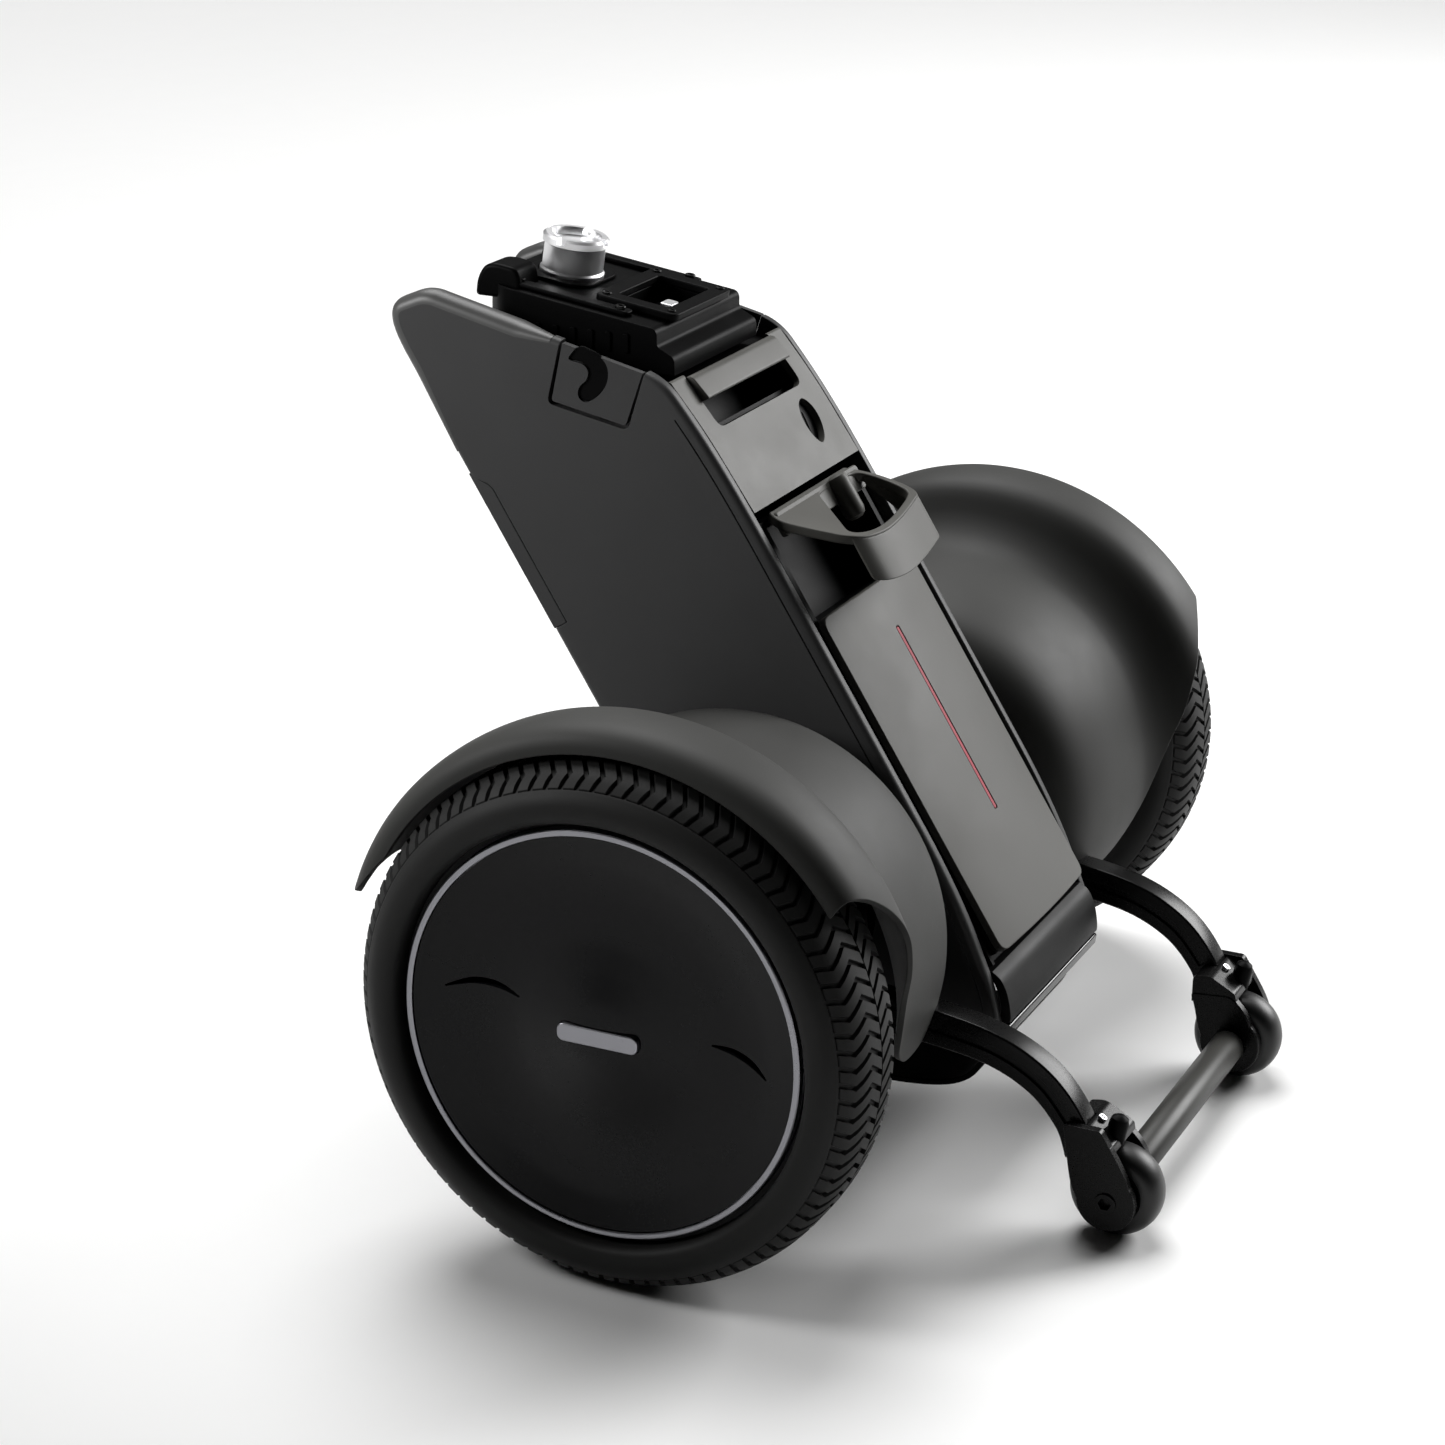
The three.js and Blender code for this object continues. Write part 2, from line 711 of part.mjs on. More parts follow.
const part = new THREE.Group();
part.add(base);

export default part;
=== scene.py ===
"""The looks of a powered mobility chair's rear drive base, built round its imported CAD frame.

Shapes are in millimetres. STAND is the standing frame: X runs along the axle to the right, Y forward and
Z up, from the floor under the axle. LEAN leans forward with the body about the axle: there Y runs from
the body's rear face to its front and Z up along it. The other frames belong to one group of pieces each.
"""

import json
import math

import bmesh
import bpy
from mathutils import Matrix, Vector


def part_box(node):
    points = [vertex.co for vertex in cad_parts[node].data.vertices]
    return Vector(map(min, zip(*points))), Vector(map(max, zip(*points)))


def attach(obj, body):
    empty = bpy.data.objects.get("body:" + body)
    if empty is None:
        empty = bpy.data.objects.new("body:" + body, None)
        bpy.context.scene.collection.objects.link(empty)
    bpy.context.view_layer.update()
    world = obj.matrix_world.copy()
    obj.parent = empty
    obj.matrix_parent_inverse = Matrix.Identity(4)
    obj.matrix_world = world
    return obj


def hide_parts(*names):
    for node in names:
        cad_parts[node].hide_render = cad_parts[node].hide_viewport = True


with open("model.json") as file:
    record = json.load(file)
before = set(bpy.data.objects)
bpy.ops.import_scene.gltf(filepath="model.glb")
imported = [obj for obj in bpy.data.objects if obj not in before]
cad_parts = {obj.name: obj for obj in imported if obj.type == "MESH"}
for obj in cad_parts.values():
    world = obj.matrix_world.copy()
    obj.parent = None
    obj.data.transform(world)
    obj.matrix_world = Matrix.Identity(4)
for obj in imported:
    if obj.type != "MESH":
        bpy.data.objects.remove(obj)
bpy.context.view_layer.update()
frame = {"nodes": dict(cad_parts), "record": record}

# Driving sizes
WHEEL_RADIUS = 132.5
WHEEL_X = 242.7
BODY_HALF = 74
PANEL_THICK = 7
PANEL_INNER = BODY_HALF - PANEL_THICK
COVER_HALF = BODY_HALF - PANEL_THICK - 0.4
BODY_REAR = -95.5
BODY_FRONT = 35
GROOVE = 174
BATTERY_LOW = -79
BATTERY_TOP = 113
ROLLER_Y = -203.6
ROLLER_RADIUS = 24
ROLLER_X = (90.3, 111.7)
ARM_X = (100, 115)
LEAN_DEGREES = 33
DOCK_AT = (0, 128, 422)
DOCK_DEGREES = 8
HANDLE_SLOPE = 0.932

# Frames, each from its own millimetres to the scene's metres
tyre_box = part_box("tyre_left")
AXLE_Y = (tyre_box[0].y + tyre_box[1].y) / 2
STAND = Matrix.Translation((0, AXLE_Y, 0)) @ Matrix.Scale(0.001, 4)
AXLE = STAND @ Matrix.Translation((0, 0, WHEEL_RADIUS))
WHEEL = STAND @ Matrix.Translation((WHEEL_X, 0, WHEEL_RADIUS))
LEAN = AXLE @ Matrix.Rotation(math.radians(-LEAN_DEGREES), 4, "X")
DOCK_TILT = Matrix.Rotation(math.radians(DOCK_DEGREES), 4, "X")
DOCK = STAND @ Matrix.Translation(DOCK_AT) @ DOCK_TILT
HANDLE_TILT = Matrix.Rotation(math.atan(HANDLE_SLOPE), 4, "X")
HANDLE = LEAN @ Matrix.Translation((0, BODY_REAR + 0.5, GROOVE - 2)) @ HANDLE_TILT
UPRIGHT = Matrix.Rotation(-math.pi / 2, 4, "Y")

# Materials
COLOR_A, COLOR_B, COLOR_OUT = 6, 7, 2
CLOUDS_PER_METRE = 22.0
FINE_SHARE = 0.4
LEAST_ROUGH = 0.03


def shader(name, color, rough, metallic=0.0, vary=0.12, rough_vary=0.06, grain=0.0, grain_mm=0.8,
           streak=(1, 1, 1), specular=0.5):
    """A procedural finish: clouded colour, uneven roughness and, where grain is given, a fine relief."""
    material = bpy.data.materials.new(name)
    material.use_nodes = True
    tree = material.node_tree
    tree.nodes.clear()

    def node(kind, **inputs):
        made = tree.nodes.new(kind)
        for key, value in inputs.items():
            made.inputs[key.replace("_", " ")].default_value = value
        return made

    def link(source, output, target, entry):
        tree.links.new(source.outputs[output], target.inputs[entry])

    place = node("ShaderNodeTexCoord")
    stretch = node("ShaderNodeMapping", Scale=streak)
    clouds = node("ShaderNodeTexNoise", Scale=CLOUDS_PER_METRE, Detail=5.0, Roughness=0.6)
    fine = node("ShaderNodeTexNoise", Scale=1000 / grain_mm, Detail=3.0, Roughness=0.55)
    link(place, "Object", stretch, "Vector")
    link(place, "Object", clouds, "Vector")
    link(stretch, "Vector", fine, "Vector")

    shade = node("ShaderNodeMix")
    shade.data_type = "RGBA"
    shade.inputs[COLOR_A].default_value = (*[c * (1 - vary) for c in color], 1)
    shade.inputs[COLOR_B].default_value = (*[c * (1 + vary) for c in color], 1)
    link(clouds, "Fac", shade, 0)

    blend = node("ShaderNodeMix")
    blend.inputs[0].default_value = FINE_SHARE
    link(clouds, "Fac", blend, 2)
    link(fine, "Fac", blend, 3)
    spread = node("ShaderNodeMapRange", From_Min=0.3, From_Max=0.7)
    spread.inputs["To Min"].default_value = max(LEAST_ROUGH, rough - rough_vary)
    spread.inputs["To Max"].default_value = rough + rough_vary
    link(blend, 0, spread, "Value")

    surface = node("ShaderNodeBsdfPrincipled", Metallic=metallic, Specular_IOR_Level=specular)
    link(shade, COLOR_OUT, surface, "Base Color")
    link(spread, 0, surface, "Roughness")
    if grain:
        bump = node("ShaderNodeBump", Strength=1.0, Distance=grain * 0.001)
        link(fine, "Fac", bump, "Height")
        link(bump, "Normal", surface, "Normal")
    out = node("ShaderNodeOutputMaterial")
    link(surface, "BSDF", out, "Surface")
    return material


FINISH = {}


def finish(name, color, rough, **options):
    FINISH[name] = shader(name, color, rough, **options)


finish("satin_charcoal", (0.041, 0.041, 0.0414), 0.48, grain=0.012, grain_mm=0.7, specular=0.26)
finish("warm_grey", (0.088, 0.0865, 0.079), 0.48, grain=0.012, grain_mm=0.7, specular=0.22)
finish("gloss_black", (0.002, 0.002, 0.0025), 0.16, rough_vary=0.03, grain=0.0015, grain_mm=1.6,
       specular=0.4)
finish("cover_black", (0.0045, 0.0045, 0.0052), 0.25, rough_vary=0.05, grain=0.0015, grain_mm=1.6,
       specular=0.16)
finish("fender_satin", (0.042, 0.042, 0.0398), 0.56, grain=0.012, grain_mm=0.7, specular=0.2)
# A darker copy of the satin charcoal for the lower trim under the battery: painted shade.
finish("trim_painted_shade", (0.006, 0.006, 0.006), 0.45, grain=0.01, grain_mm=0.7, specular=0.1)
# A lighter copy of the satin charcoal for the panels' rolled top lips: painted highlight where light falls
# over the top edge.
finish("lip_painted_highlight", (0.060, 0.060, 0.059), 0.42, grain=0.01, grain_mm=0.7, specular=0.42)
finish("bar_grey", (0.045, 0.0445, 0.041), 0.4, grain=0.01, specular=0.22)
finish("matt_black", (0.0013, 0.0013, 0.0014), 0.45, grain=0.015, grain_mm=0.6, specular=0.04)
finish("arm_black", (0.002, 0.002, 0.002), 0.28, grain=0.01, grain_mm=0.9, specular=0.16)
finish("tyre_rubber", (0.0075, 0.0075, 0.0072), 0.60, vary=0.25, grain=0.03, specular=0.25)
finish("roller_rubber", (0.004, 0.004, 0.004), 0.42, vary=0.2, grain=0.015, specular=0.4)
finish("bright_steel", (0.80, 0.80, 0.81), 0.36, metallic=1.0, vary=0.05, grain=0.002, grain_mm=0.5,
       streak=(1, 1, 0.08))
finish("trim_silver", (0.26, 0.26, 0.28), 0.30, metallic=1.0, vary=0.05, grain=0.002, grain_mm=0.6)
finish("motor_steel", (0.28, 0.28, 0.29), 0.35, metallic=1.0, grain=0.006, grain_mm=0.6,
       streak=(0.1, 1, 1))
finish("alloy", (0.24, 0.24, 0.25), 0.42, metallic=1.0, grain=0.01)
finish("accent_red", (0.46, 0.06, 0.085), 0.55, grain=0.006, grain_mm=0.6, specular=0.2)
finish("cell_pack", (0.05, 0.09, 0.2), 0.4, grain=0.02, grain_mm=2.5)
finish("circuit", (0.012, 0.06, 0.02), 0.45, vary=0.3, grain=0.01, grain_mm=1.5)

# The record's slot for each CAD node, and each node given the finish of its slot
SLOT_OF = {part["node"]: part["material_slot"] for part in frame["record"]["subparts"]}
for name, cad in frame["nodes"].items():
    cad.data.materials.clear()
    cad.data.materials.append(FINISH[SLOT_OF[name]])


# Outlines
def fillet(corners, steps=8):
    """A closed outline from (a, b, radius) corners, each rounded by a quadratic curve."""
    points = []
    for i, (a, b, radius) in enumerate(corners):
        here = Vector((a, b))
        before = Vector(corners[i - 1][:2]) - here
        after = Vector(corners[(i + 1) % len(corners)][:2]) - here
        if radius == 0:
            points.append(here)
            continue
        start = here + before.normalized() * min(radius, before.length * 0.49)
        end = here + after.normalized() * min(radius, after.length * 0.49)
        for k in range(steps + 1):
            t = k / steps
            points.append(start.lerp(here, t).lerp(here.lerp(end, t), t))
    return points


def rectangle(a0, a1, b0, b1, radius=0, steps=6):
    return fillet([(a0, b0, radius), (a1, b0, radius), (a1, b1, radius), (a0, b1, radius)], steps)


def circle(radius, count, b=0):
    """Points round the place (0, b)."""
    turns = [k * math.tau / count for k in range(count)]
    return [Vector((radius * math.cos(turn), b + radius * math.sin(turn))) for turn in turns]


def smooth_line(points, steps):
    """Points on a Catmull-Rom line through the given ones."""
    points = [Vector(p) for p in points]
    last = len(points) - 1
    line = []
    for n in range(steps * last + 1):
        i = min(n // steps, last - 1)
        t = n / steps - i
        p0, p1, p2, p3 = points[max(i - 1, 0)], points[i], points[i + 1], points[min(i + 2, last)]
        v0, v1 = (p2 - p0) / 2, (p3 - p1) / 2
        cubic = 2 * p1 - 2 * p2 + v0 + v1
        square = 3 * p2 - 3 * p1 - 2 * v0 - v1
        line.append(cubic * t**3 + square * t**2 + v0 * t + p1)
    return line


def softened(points, rounds):
    """Points with their corners cut, the two ends kept."""
    points = [Vector(p) for p in points]
    for _ in range(rounds):
        middle = [q for a, b in zip(points, points[1:]) for q in (a.lerp(b, 0.25), a.lerp(b, 0.75))]
        points = [points[0], *middle[1:-1], points[-1]]
    return points


def evenly(points, step):
    """Points along a polyline, about a step apart."""
    line = [points[0]]
    for a, b in zip(points, points[1:]):
        count = max(1, round((b - a).length / step))
        line += [a.lerp(b, (k + 1) / count) for k in range(count)]
    return line


def leftward(line, i):
    """The direction square to a line at its point i, on the left."""
    along = (line[min(i + 1, len(line) - 1)] - line[max(i - 1, 0)]).normalized()
    return Vector((-along.y, along.x))


def outward(line, i):
    """The outward direction at a point of a line that runs forward, over the top and back."""
    return -leftward(line, i)


def sides(line, halves):
    """The two edges of a band along a line."""
    near = [p + leftward(line, i) * halves[i] for i, p in enumerate(line)]
    far = [p - leftward(line, i) * halves[i] for i, p in enumerate(line)]
    return near, far


def band(points, steps):
    """The outline of a band along a smooth line through (a, b, half-width) points."""
    full = smooth_line(points, steps)
    near, far = sides([p.xy for p in full], [p.z for p in full])
    return near + far[::-1]


def inset(points, by):
    """A closed outline moved in by a distance, whichever way it turns."""
    turn = sum(points[i - 1].cross(points[i]) for i in range(len(points)))
    inner = []
    for i, p in enumerate(points):
        along = (points[(i + 1) % len(points)] - points[i - 1]).normalized()
        inner.append(p + Vector((-along.y, along.x)) * by * (1 if turn > 0 else -1))
    return inner


# Solids
PUT = {
    "x": lambda a, b, c: (c, a, b),
    "y": lambda a, b, c: (a, c, b),
    "z": lambda a, b, c: (a, b, c),
}
WELD = 0.001
FLAT_DEGREES = 0.3


def prism(points, low, high, along="x", round_high=0.0, round_low=0.0):
    """An outline drawn out between two places on an axis, with the rim of either end rounded if asked."""
    solid = bmesh.new()
    rings = [[solid.verts.new(PUT[along](a, b, c)) for a, b in points] for c in (low, high)]
    solid.faces.new(rings[0])
    solid.faces.new(rings[1][::-1])
    for i in range(len(points)):
        solid.faces.new((rings[0][i - 1], rings[1][i - 1], rings[1][i], rings[0][i]))
    bmesh.ops.recalc_face_normals(solid, faces=solid.faces)
    for ring_at, radius in ((1, round_high), (0, round_low)):
        if radius:
            chosen = set(rings[ring_at])
            edges = [e for e in solid.edges if e.verts[0] in chosen and e.verts[1] in chosen]
            bmesh.ops.bevel(
                solid, geom=edges, offset=radius, segments=6, profile=0.5, affect="EDGES", clamp_overlap=True
            )
            rings = [[v for v in ring if v.is_valid] for ring in rings]
    return solid


def plain_outline(corners):
    return [Vector(corner) for corner in corners]


def box(x0, x1, y0, y1, z0, z1):
    return prism(plain_outline([(x0, y0), (x1, y0), (x1, y1), (x0, y1)]), z0, z1, "z")


def lathe(profile, segments=96, closed=False):
    """A profile of (x, radius) points turned about the X axis."""
    solid = bmesh.new()
    rings = []
    for x, r in profile:
        turns = [k * math.tau / segments for k in range(segments)] if r > 0 else [0]
        rings.append([solid.verts.new((x, r * math.sin(turn), r * math.cos(turn))) for turn in turns])
    pairs = list(zip(rings, rings[1:])) + ([(rings[-1], rings[0])] if closed else [])
    for a, b in pairs:
        for k in range(segments):
            corners = ((a, k - 1), (a, k), (b, k), (b, k - 1))
            solid.faces.new(dict.fromkeys(ring[at if len(ring) > 1 else 0] for ring, at in corners))
    bmesh.ops.recalc_face_normals(solid, faces=solid.faces)
    return solid


def rod(radius, x0, x1, segments=48):
    return lathe([(x0, 0), (x0, radius), (x1, radius), (x1, 0)], segments)


def loft(solid, rows):
    """Joins rows of points into a tube and closes its two ends."""
    for a, b in zip(rows, rows[1:]):
        for k in range(len(a)):
            solid.faces.new((a[k - 1], a[k], b[k], b[k - 1]))
    solid.faces.new(rows[0])
    solid.faces.new(rows[-1][::-1])


def moved(solid, matrix):
    solid.transform(matrix)
    if matrix.determinant() < 0:
        bmesh.ops.reverse_faces(solid, faces=solid.faces)
    return solid


def shift(solid, x=0, y=0, z=0):
    return moved(solid, Matrix.Translation((x, y, z)))


def mirrored(solid):
    return moved(solid.copy(), Matrix.Scale(-1, 4, (1, 0, 0)))


def merged(*solids):
    whole = bmesh.new()
    for solid in solids:
        data = bpy.data.meshes.new("part")
        solid.to_mesh(data)
        whole.from_mesh(data)
        bpy.data.meshes.remove(data)
    return whole


def holder(solid):
    """An object that carries a solid while modifiers work on it."""
    data = bpy.data.meshes.new("holder")
    solid.to_mesh(data)
    made = bpy.data.objects.new("holder", data)
    bpy.context.scene.collection.objects.link(made)
    return made


def taken(target, *helpers):
    """The solid that a holder's modifiers make of it; the holders are removed."""
    result = bpy.data.meshes.new_from_object(target.evaluated_get(bpy.context.evaluated_depsgraph_get()))
    made = bmesh.new()
    made.from_mesh(result)
    bpy.data.meshes.remove(result)
    for used in (target, *helpers):
        data = used.data
        bpy.data.objects.remove(used)
        bpy.data.meshes.remove(data)
    return made


def boolean(solid, tools, operation="DIFFERENCE"):
    target = holder(solid)
    helpers = [holder(tool) for tool in tools]
    for helper in helpers:
        step = target.modifiers.new("step", "BOOLEAN")
        step.object, step.operation, step.solver = helper, operation, "EXACT"
    made = taken(target, *helpers)
    bmesh.ops.remove_doubles(made, verts=made.verts, dist=WELD)
    bmesh.ops.dissolve_limit(
        made, angle_limit=math.radians(FLAT_DEGREES), verts=made.verts, edges=made.edges
    )
    return made


def cut(solid, *tools):
    return boolean(solid, tools)


def join(solid, *others):
    return boolean(solid, others, "UNION")


def common(solid, other):
    return boolean(solid, [other], "INTERSECT")


def bolt(radius, height, socket=0.52):
    """A cap screw's head along X, its hexagon open at the end."""
    edge = 0.35
    profile = [(-0.4, 0), (-0.4, radius), (height - edge, radius), (height, radius - edge), (height, 0)]
    return cut(lathe(profile, 32), prism(circle(radius * socket, 6), height * 0.35, height + 1))


def screws(radius, height, xs, ys, z):
    """Upright cap screws at every crossing of some rows and columns."""
    return merged(*[shift(moved(bolt(radius, height), UPRIGHT), x, y, z) for x in xs for y in ys])


def piece(name, solid, place, body, slot, nodes=(), bevel=0.6, segments=3, angle=32):
    """A visible piece from a solid in millimetres: placed, its edges softened, riding its body."""
    solid = moved(solid.copy(), place)
    data = bpy.data.meshes.new(name)
    solid.to_mesh(data)
    data.polygons.foreach_set("use_smooth", [True] * len(data.polygons))
    data.set_sharp_from_angle(angle=math.radians(angle))
    data.materials.append(FINISH[slot])
    made = bpy.data.objects.new(name, data)
    bpy.context.scene.collection.objects.link(made)
    if bevel:
        step = made.modifiers.new("edges", "BEVEL")
        step.width, step.segments, step.limit_method = bevel * 0.001, segments, "ANGLE"
        step.angle_limit, step.harden_normals = math.radians(angle), True
        step.use_clamp_overlap = True
    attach(made, body)
    if nodes:
        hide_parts(*nodes)


def pair(name, solid, place, body, slot, node=None, **options):
    """A right-hand piece and its mirror image, each riding its own side's body."""
    for side, shape in (("right", solid), ("left", mirrored(solid))):
        where = place
        if side == "left" and place.translation.x > 0.01:
            where = Matrix.Translation((-2 * place.translation.x, 0, 0)) @ place
        on = body.format(side=side)
        piece(f"{name}_{side}", shape, where, on, slot, [f"{node}_{side}"] if node else (), **options)


# The body's side panels and the soft lips over their top edges
BODY_OUTLINE = fillet([
    (37.4, -60, 15), (37.1, 361, 26), (7, 356, 7), (-89, 257, 12), (-93.5, 222, 20),
    (BODY_REAR, 180, 40), (BODY_REAR, -40, 40), (-86, -96, 12), (-77, -118, 8),
], 12)
LATCH_OUTLINE = fillet([(-56, 305, 0), (-25, 274.5, 4), (-58.5, 242.5, 4), (-86, 266, 0)])
NOTCH_OUTLINE = fillet([(39.5, 172, 0), (39.5, 266, 0), (28, 252, 3), (28, 172, 0)])
LIP_HALF = 8.0
LIP_TALL = 6.5
LIP_POINTS = 28
LIP_SQUARE = 0.9


def lip_line():
    """The panel's edge up the front and over the top as far as the latch, in short steps."""
    edge = plain_outline([(37.3, 276), (37.3, 334)])
    edge += [p for p in BODY_OUTLINE if p.x > -31 and p.y > 336]
    edge.append(Vector((-45.4, 302)))
    return evenly(edge, 2.5)


def lip_share(i, last):
    """How full the lip is at a point of its line: it swells from its front end and thins at its rear."""
    return min(1, 0.35 + 0.65 * i / 18, 0.45 + 0.55 * (last - i) / 8)


def lip_room(line, shares):
    """The strip that the lip takes up along the panel's edge."""
    within = [p - outward(line, i) * (LIP_TALL * shares[i]) for i, p in enumerate(line)]
    beyond = [p + outward(line, i) * 4 for i, p in enumerate(line)]
    return prism(within + beyond[::-1], PANEL_INNER - 1, BODY_HALF + 1)


def lip_solid(line, shares):
    """A tube along the panel's edge with a slightly squared oval section."""
    lip = bmesh.new()
    rows = []
    for i, p in enumerate(line):
        out, half = outward(line, i), LIP_HALF * shares[i]
        row = []
        for k in range(LIP_POINTS):
            turn = k * math.tau / LIP_POINTS
            a, b = (math.copysign(abs(v) ** LIP_SQUARE, v) for v in (math.cos(turn), math.sin(turn)))
            at = p + out * ((b - 1) * LIP_TALL * shares[i])
            row.append(lip.verts.new((BODY_HALF - 0.02 - half + a * half, at.x, at.y)))
        rows.append(row)
    loft(lip, rows)
    bmesh.ops.recalc_face_normals(lip, faces=lip.faces)
    return lip


def rim_seam():
    """A fine line inside the panel's rear edge."""
    rim = []
    for p in inset(BODY_OUTLINE, 6.6):
        if p.x < -60 and p.y < 238 and (not rim or (p - rim[-1]).length > 2):
            rim.append(p)
    near, far = sides(rim, [0.35] * len(rim))
    return prism(near + far[::-1], BODY_HALF - 0.8, BODY_HALF + 1)


def build_panels():
    line = lip_line()
    shares = [lip_share(i, len(line) - 1) for i in range(len(line))]
    low, high = PANEL_INNER - 1, BODY_HALF + 1
    blank = prism(BODY_OUTLINE, PANEL_INNER, BODY_HALF, "x", 3.4, 0.8)
    motor_hole = rod(59, low, high, 64)
    latch_hole = prism(LATCH_OUTLINE, low, high)
    notch = prism(NOTCH_OUTLINE, low, high)
    panel = cut(blank, motor_hole, latch_hole, notch, rim_seam(), lip_room(line, shares))
    pair("panel", panel, LEAN, "base", "satin_charcoal", "side_panel", bevel=0.5)
    # The lips take the lighter copy of the satin charcoal, as painted highlight.
    pair("panel_lip", lip_solid(line, shares), LEAN, "base", "lip_painted_highlight", bevel=0.6, angle=50)


# The latches in the side panels, each with a hook-shaped recess sunk into its face and a black piece in it
# as painted shade
LATCH_FACE = 73.5
LATCH_DEPTH = 3.6
HOOK_DEPTH = 1.9
HOOK_OUTLINE = fillet([
    (-57, 292, 3), (-64.5, 283, 5), (-66.3, 275, 5), (-61, 267.5, 5), (-52, 264.4, 4), (-44, 264.8, 3),
    (-42, 269.6, 3), (-45.5, 273.8, 3), (-51, 274.4, 2), (-54.8, 277.4, 3), (-54.6, 282, 3),
    (-47, 288.6, 3),
])


def build_latches():
    blank = prism(inset(LATCH_OUTLINE, 1.9), LATCH_FACE - LATCH_DEPTH, LATCH_FACE)
    trimmed = common(blank, prism(inset(BODY_OUTLINE, 0.8), 50, 80))
    latch = cut(trimmed, prism(HOOK_OUTLINE, LATCH_FACE - HOOK_DEPTH, 80))
    # A black piece inside the hook's recess: painted shade in the recess.
    hook_shade = prism(inset(HOOK_OUTLINE, 0.3), 70.4, 72.3)
    stem = box(56, 70.5, -56, -46, 262, 272)
    pair("latch", latch, LEAN, "latch_{side}", "satin_charcoal", "latch_button", bevel=0.7)
    pair("latch_mark", hook_shade, LEAN, "latch_{side}", "matt_black", bevel=0.3)
    pair("latch_stem", stem, LEAN, "latch_{side}", "matt_black", bevel=0.5)


# The front cover and the strips in the notches of the panels' front edges
def build_front_cover():
    half = COVER_HALF - 12
    sheet = prism(rectangle(-COVER_HALF, COVER_HALF, -46, 322, 4), BODY_FRONT - 4, BODY_FRONT, "y")
    lines = [
        prism(rectangle(-half, half, z, z + 0.8), BODY_FRONT - 0.6, BODY_FRONT + 1, "y") for z in (60, 205)
    ]
    piece("front_cover", cut(sheet, *lines), LEAN, "base", "satin_charcoal", ["front_cover"], bevel=0.8)


def build_front_strips():
    blank = prism(inset(NOTCH_OUTLINE, 0.6), 64, BODY_HALF - 0.6)
    trim = prism(plain_outline([(20, 100), (37.2, 100), (37.2, 300), (20, 300)]), 50, 90)
    pair("front_strip", common(blank, trim), LEAN, "base", "satin_charcoal", bevel=0.6)


# The rear covers, the key port and the release handle
PORT_MIDDLE = Vector((38.5, 202))
PORT_HALVES = (8.4, 12.6)
PORT_TILT = -0.22
PORT_POINTS = 40


def teardrop(grow):
    """The key port's outline: a squared oval that is wider at its top."""
    tilt = Matrix.Rotation(PORT_TILT, 2)
    across, up = (half + grow for half in PORT_HALVES)
    shape = []
    for k in range(PORT_POINTS):
        turn = k * math.tau / PORT_POINTS
        width = across * (1 + 0.1 * math.sin(turn)) * abs(math.cos(turn)) ** 0.2
        shape.append(PORT_MIDDLE + tilt @ Vector((width * math.cos(turn), up * math.sin(turn))))
    return shape


def build_rear_cover():
    skin = fillet([
        (BODY_REAR, GROOVE + 2, 0), (BODY_REAR + 4, GROOVE + 2, 0), (-89.4, 222, 15),
        (-85, 253, 0), (-89, 254, 2), (-93.4, 222, 15),
    ])
    behind, inside = -120, -70
    window = prism(rectangle(-51, 51, 221.5, 256, 6), behind, inside, "y")
    port = prism(teardrop(0.4), behind, inside, "y")
    cover = cut(prism(skin, -COVER_HALF, COVER_HALF), window, port)
    piece("rear_cover", cover, LEAN, "base", "warm_grey", ["rear_upper_cover"], bevel=0.9)


def build_key_port():
    plug = prism(teardrop(0), -90.6, -86, "y")
    slit = prism(band([(37.5, 196, 0.5), (38.5, 202, 0.7), (39.5, 208, 0.5)], 4), -100, -89.8, "y")
    piece("key_port", cut(plug, slit), LEAN, "base", "matt_black", ["key_port_plug"], bevel=0.8)


def build_release_handle():
    bar = prism(fillet([(-95.6, 236.6, 2), (-92.6, 251, 3), (-88.6, 252, 1), (-90, 237.4, 1)]), -50.2, 50.2)
    piece("release_handle", bar, LEAN, "release", "warm_grey", ["release_bar"], bevel=0.9)


def build_lower_trim():
    face = smooth_line(
        [(-88.5, -84.5), (-90.6, -90), (-90.2, -97), (-88, -104), (-85.4, -109.5), (-83.4, -112.4)], 5
    )
    back = [Vector((p.x + 4.4, p.y + 1.6)) for p in face]
    trim = prism(face + back[::-1], -COVER_HALF, COVER_HALF)
    # The trim takes the darker copy of the satin charcoal, as painted shade.
    piece("lower_trim", trim, LEAN, "base", "trim_painted_shade", ["lower_trim"], bevel=0.8)
    lip = fillet([
        (-83, -113.6, 2), (-78.5, -119, 2), (-68, -114.5, 0), (-68, -111.5, 0), (-77, -114, 0),
        (-79, -112, 0),
    ])
    piece("lower_lip", prism(lip, -COVER_HALF, COVER_HALF), LEAN, "base", "gloss_black", ["lower_lip"])


# The battery's cover
def crowned(half, rear, crown, front, low, high, corner):
    """A plate in the rear plane whose outside bulges across its width."""
    steps = 24
    across = [half * (2 * k / steps - 1) for k in range(steps + 1)]
    bulge = [Vector((x, rear - crown * (1 - (x / half) ** 2))) for x in across]
    bar = prism([*bulge, Vector((half, front)), Vector((-half, front))], low, high, "z")
    return common(bar, prism(rectangle(-half, half, low, high, corner, 8), rear - 30, front + 30, "y"))


def build_battery():
    face = crowned(60.5, -96.5, 4, -92.5, BATTERY_LOW, BATTERY_TOP, 7)
    groove = prism(rectangle(-1.7, 1.7, -19.4, 88.4, 1.2), -110, -99.4, "y")
    cover = cut(face, groove)
    piece("battery_cover", cover, LEAN, "battery", "warm_grey", ["battery_face"], bevel=1.3, segments=4)
    stripe = prism(rectangle(-1.35, 1.35, -19, 88, 1.1), -100.3, -99, "y")
    piece("battery_line", stripe, LEAN, "battery", "accent_red", ["battery_stripe"], bevel=0.3)


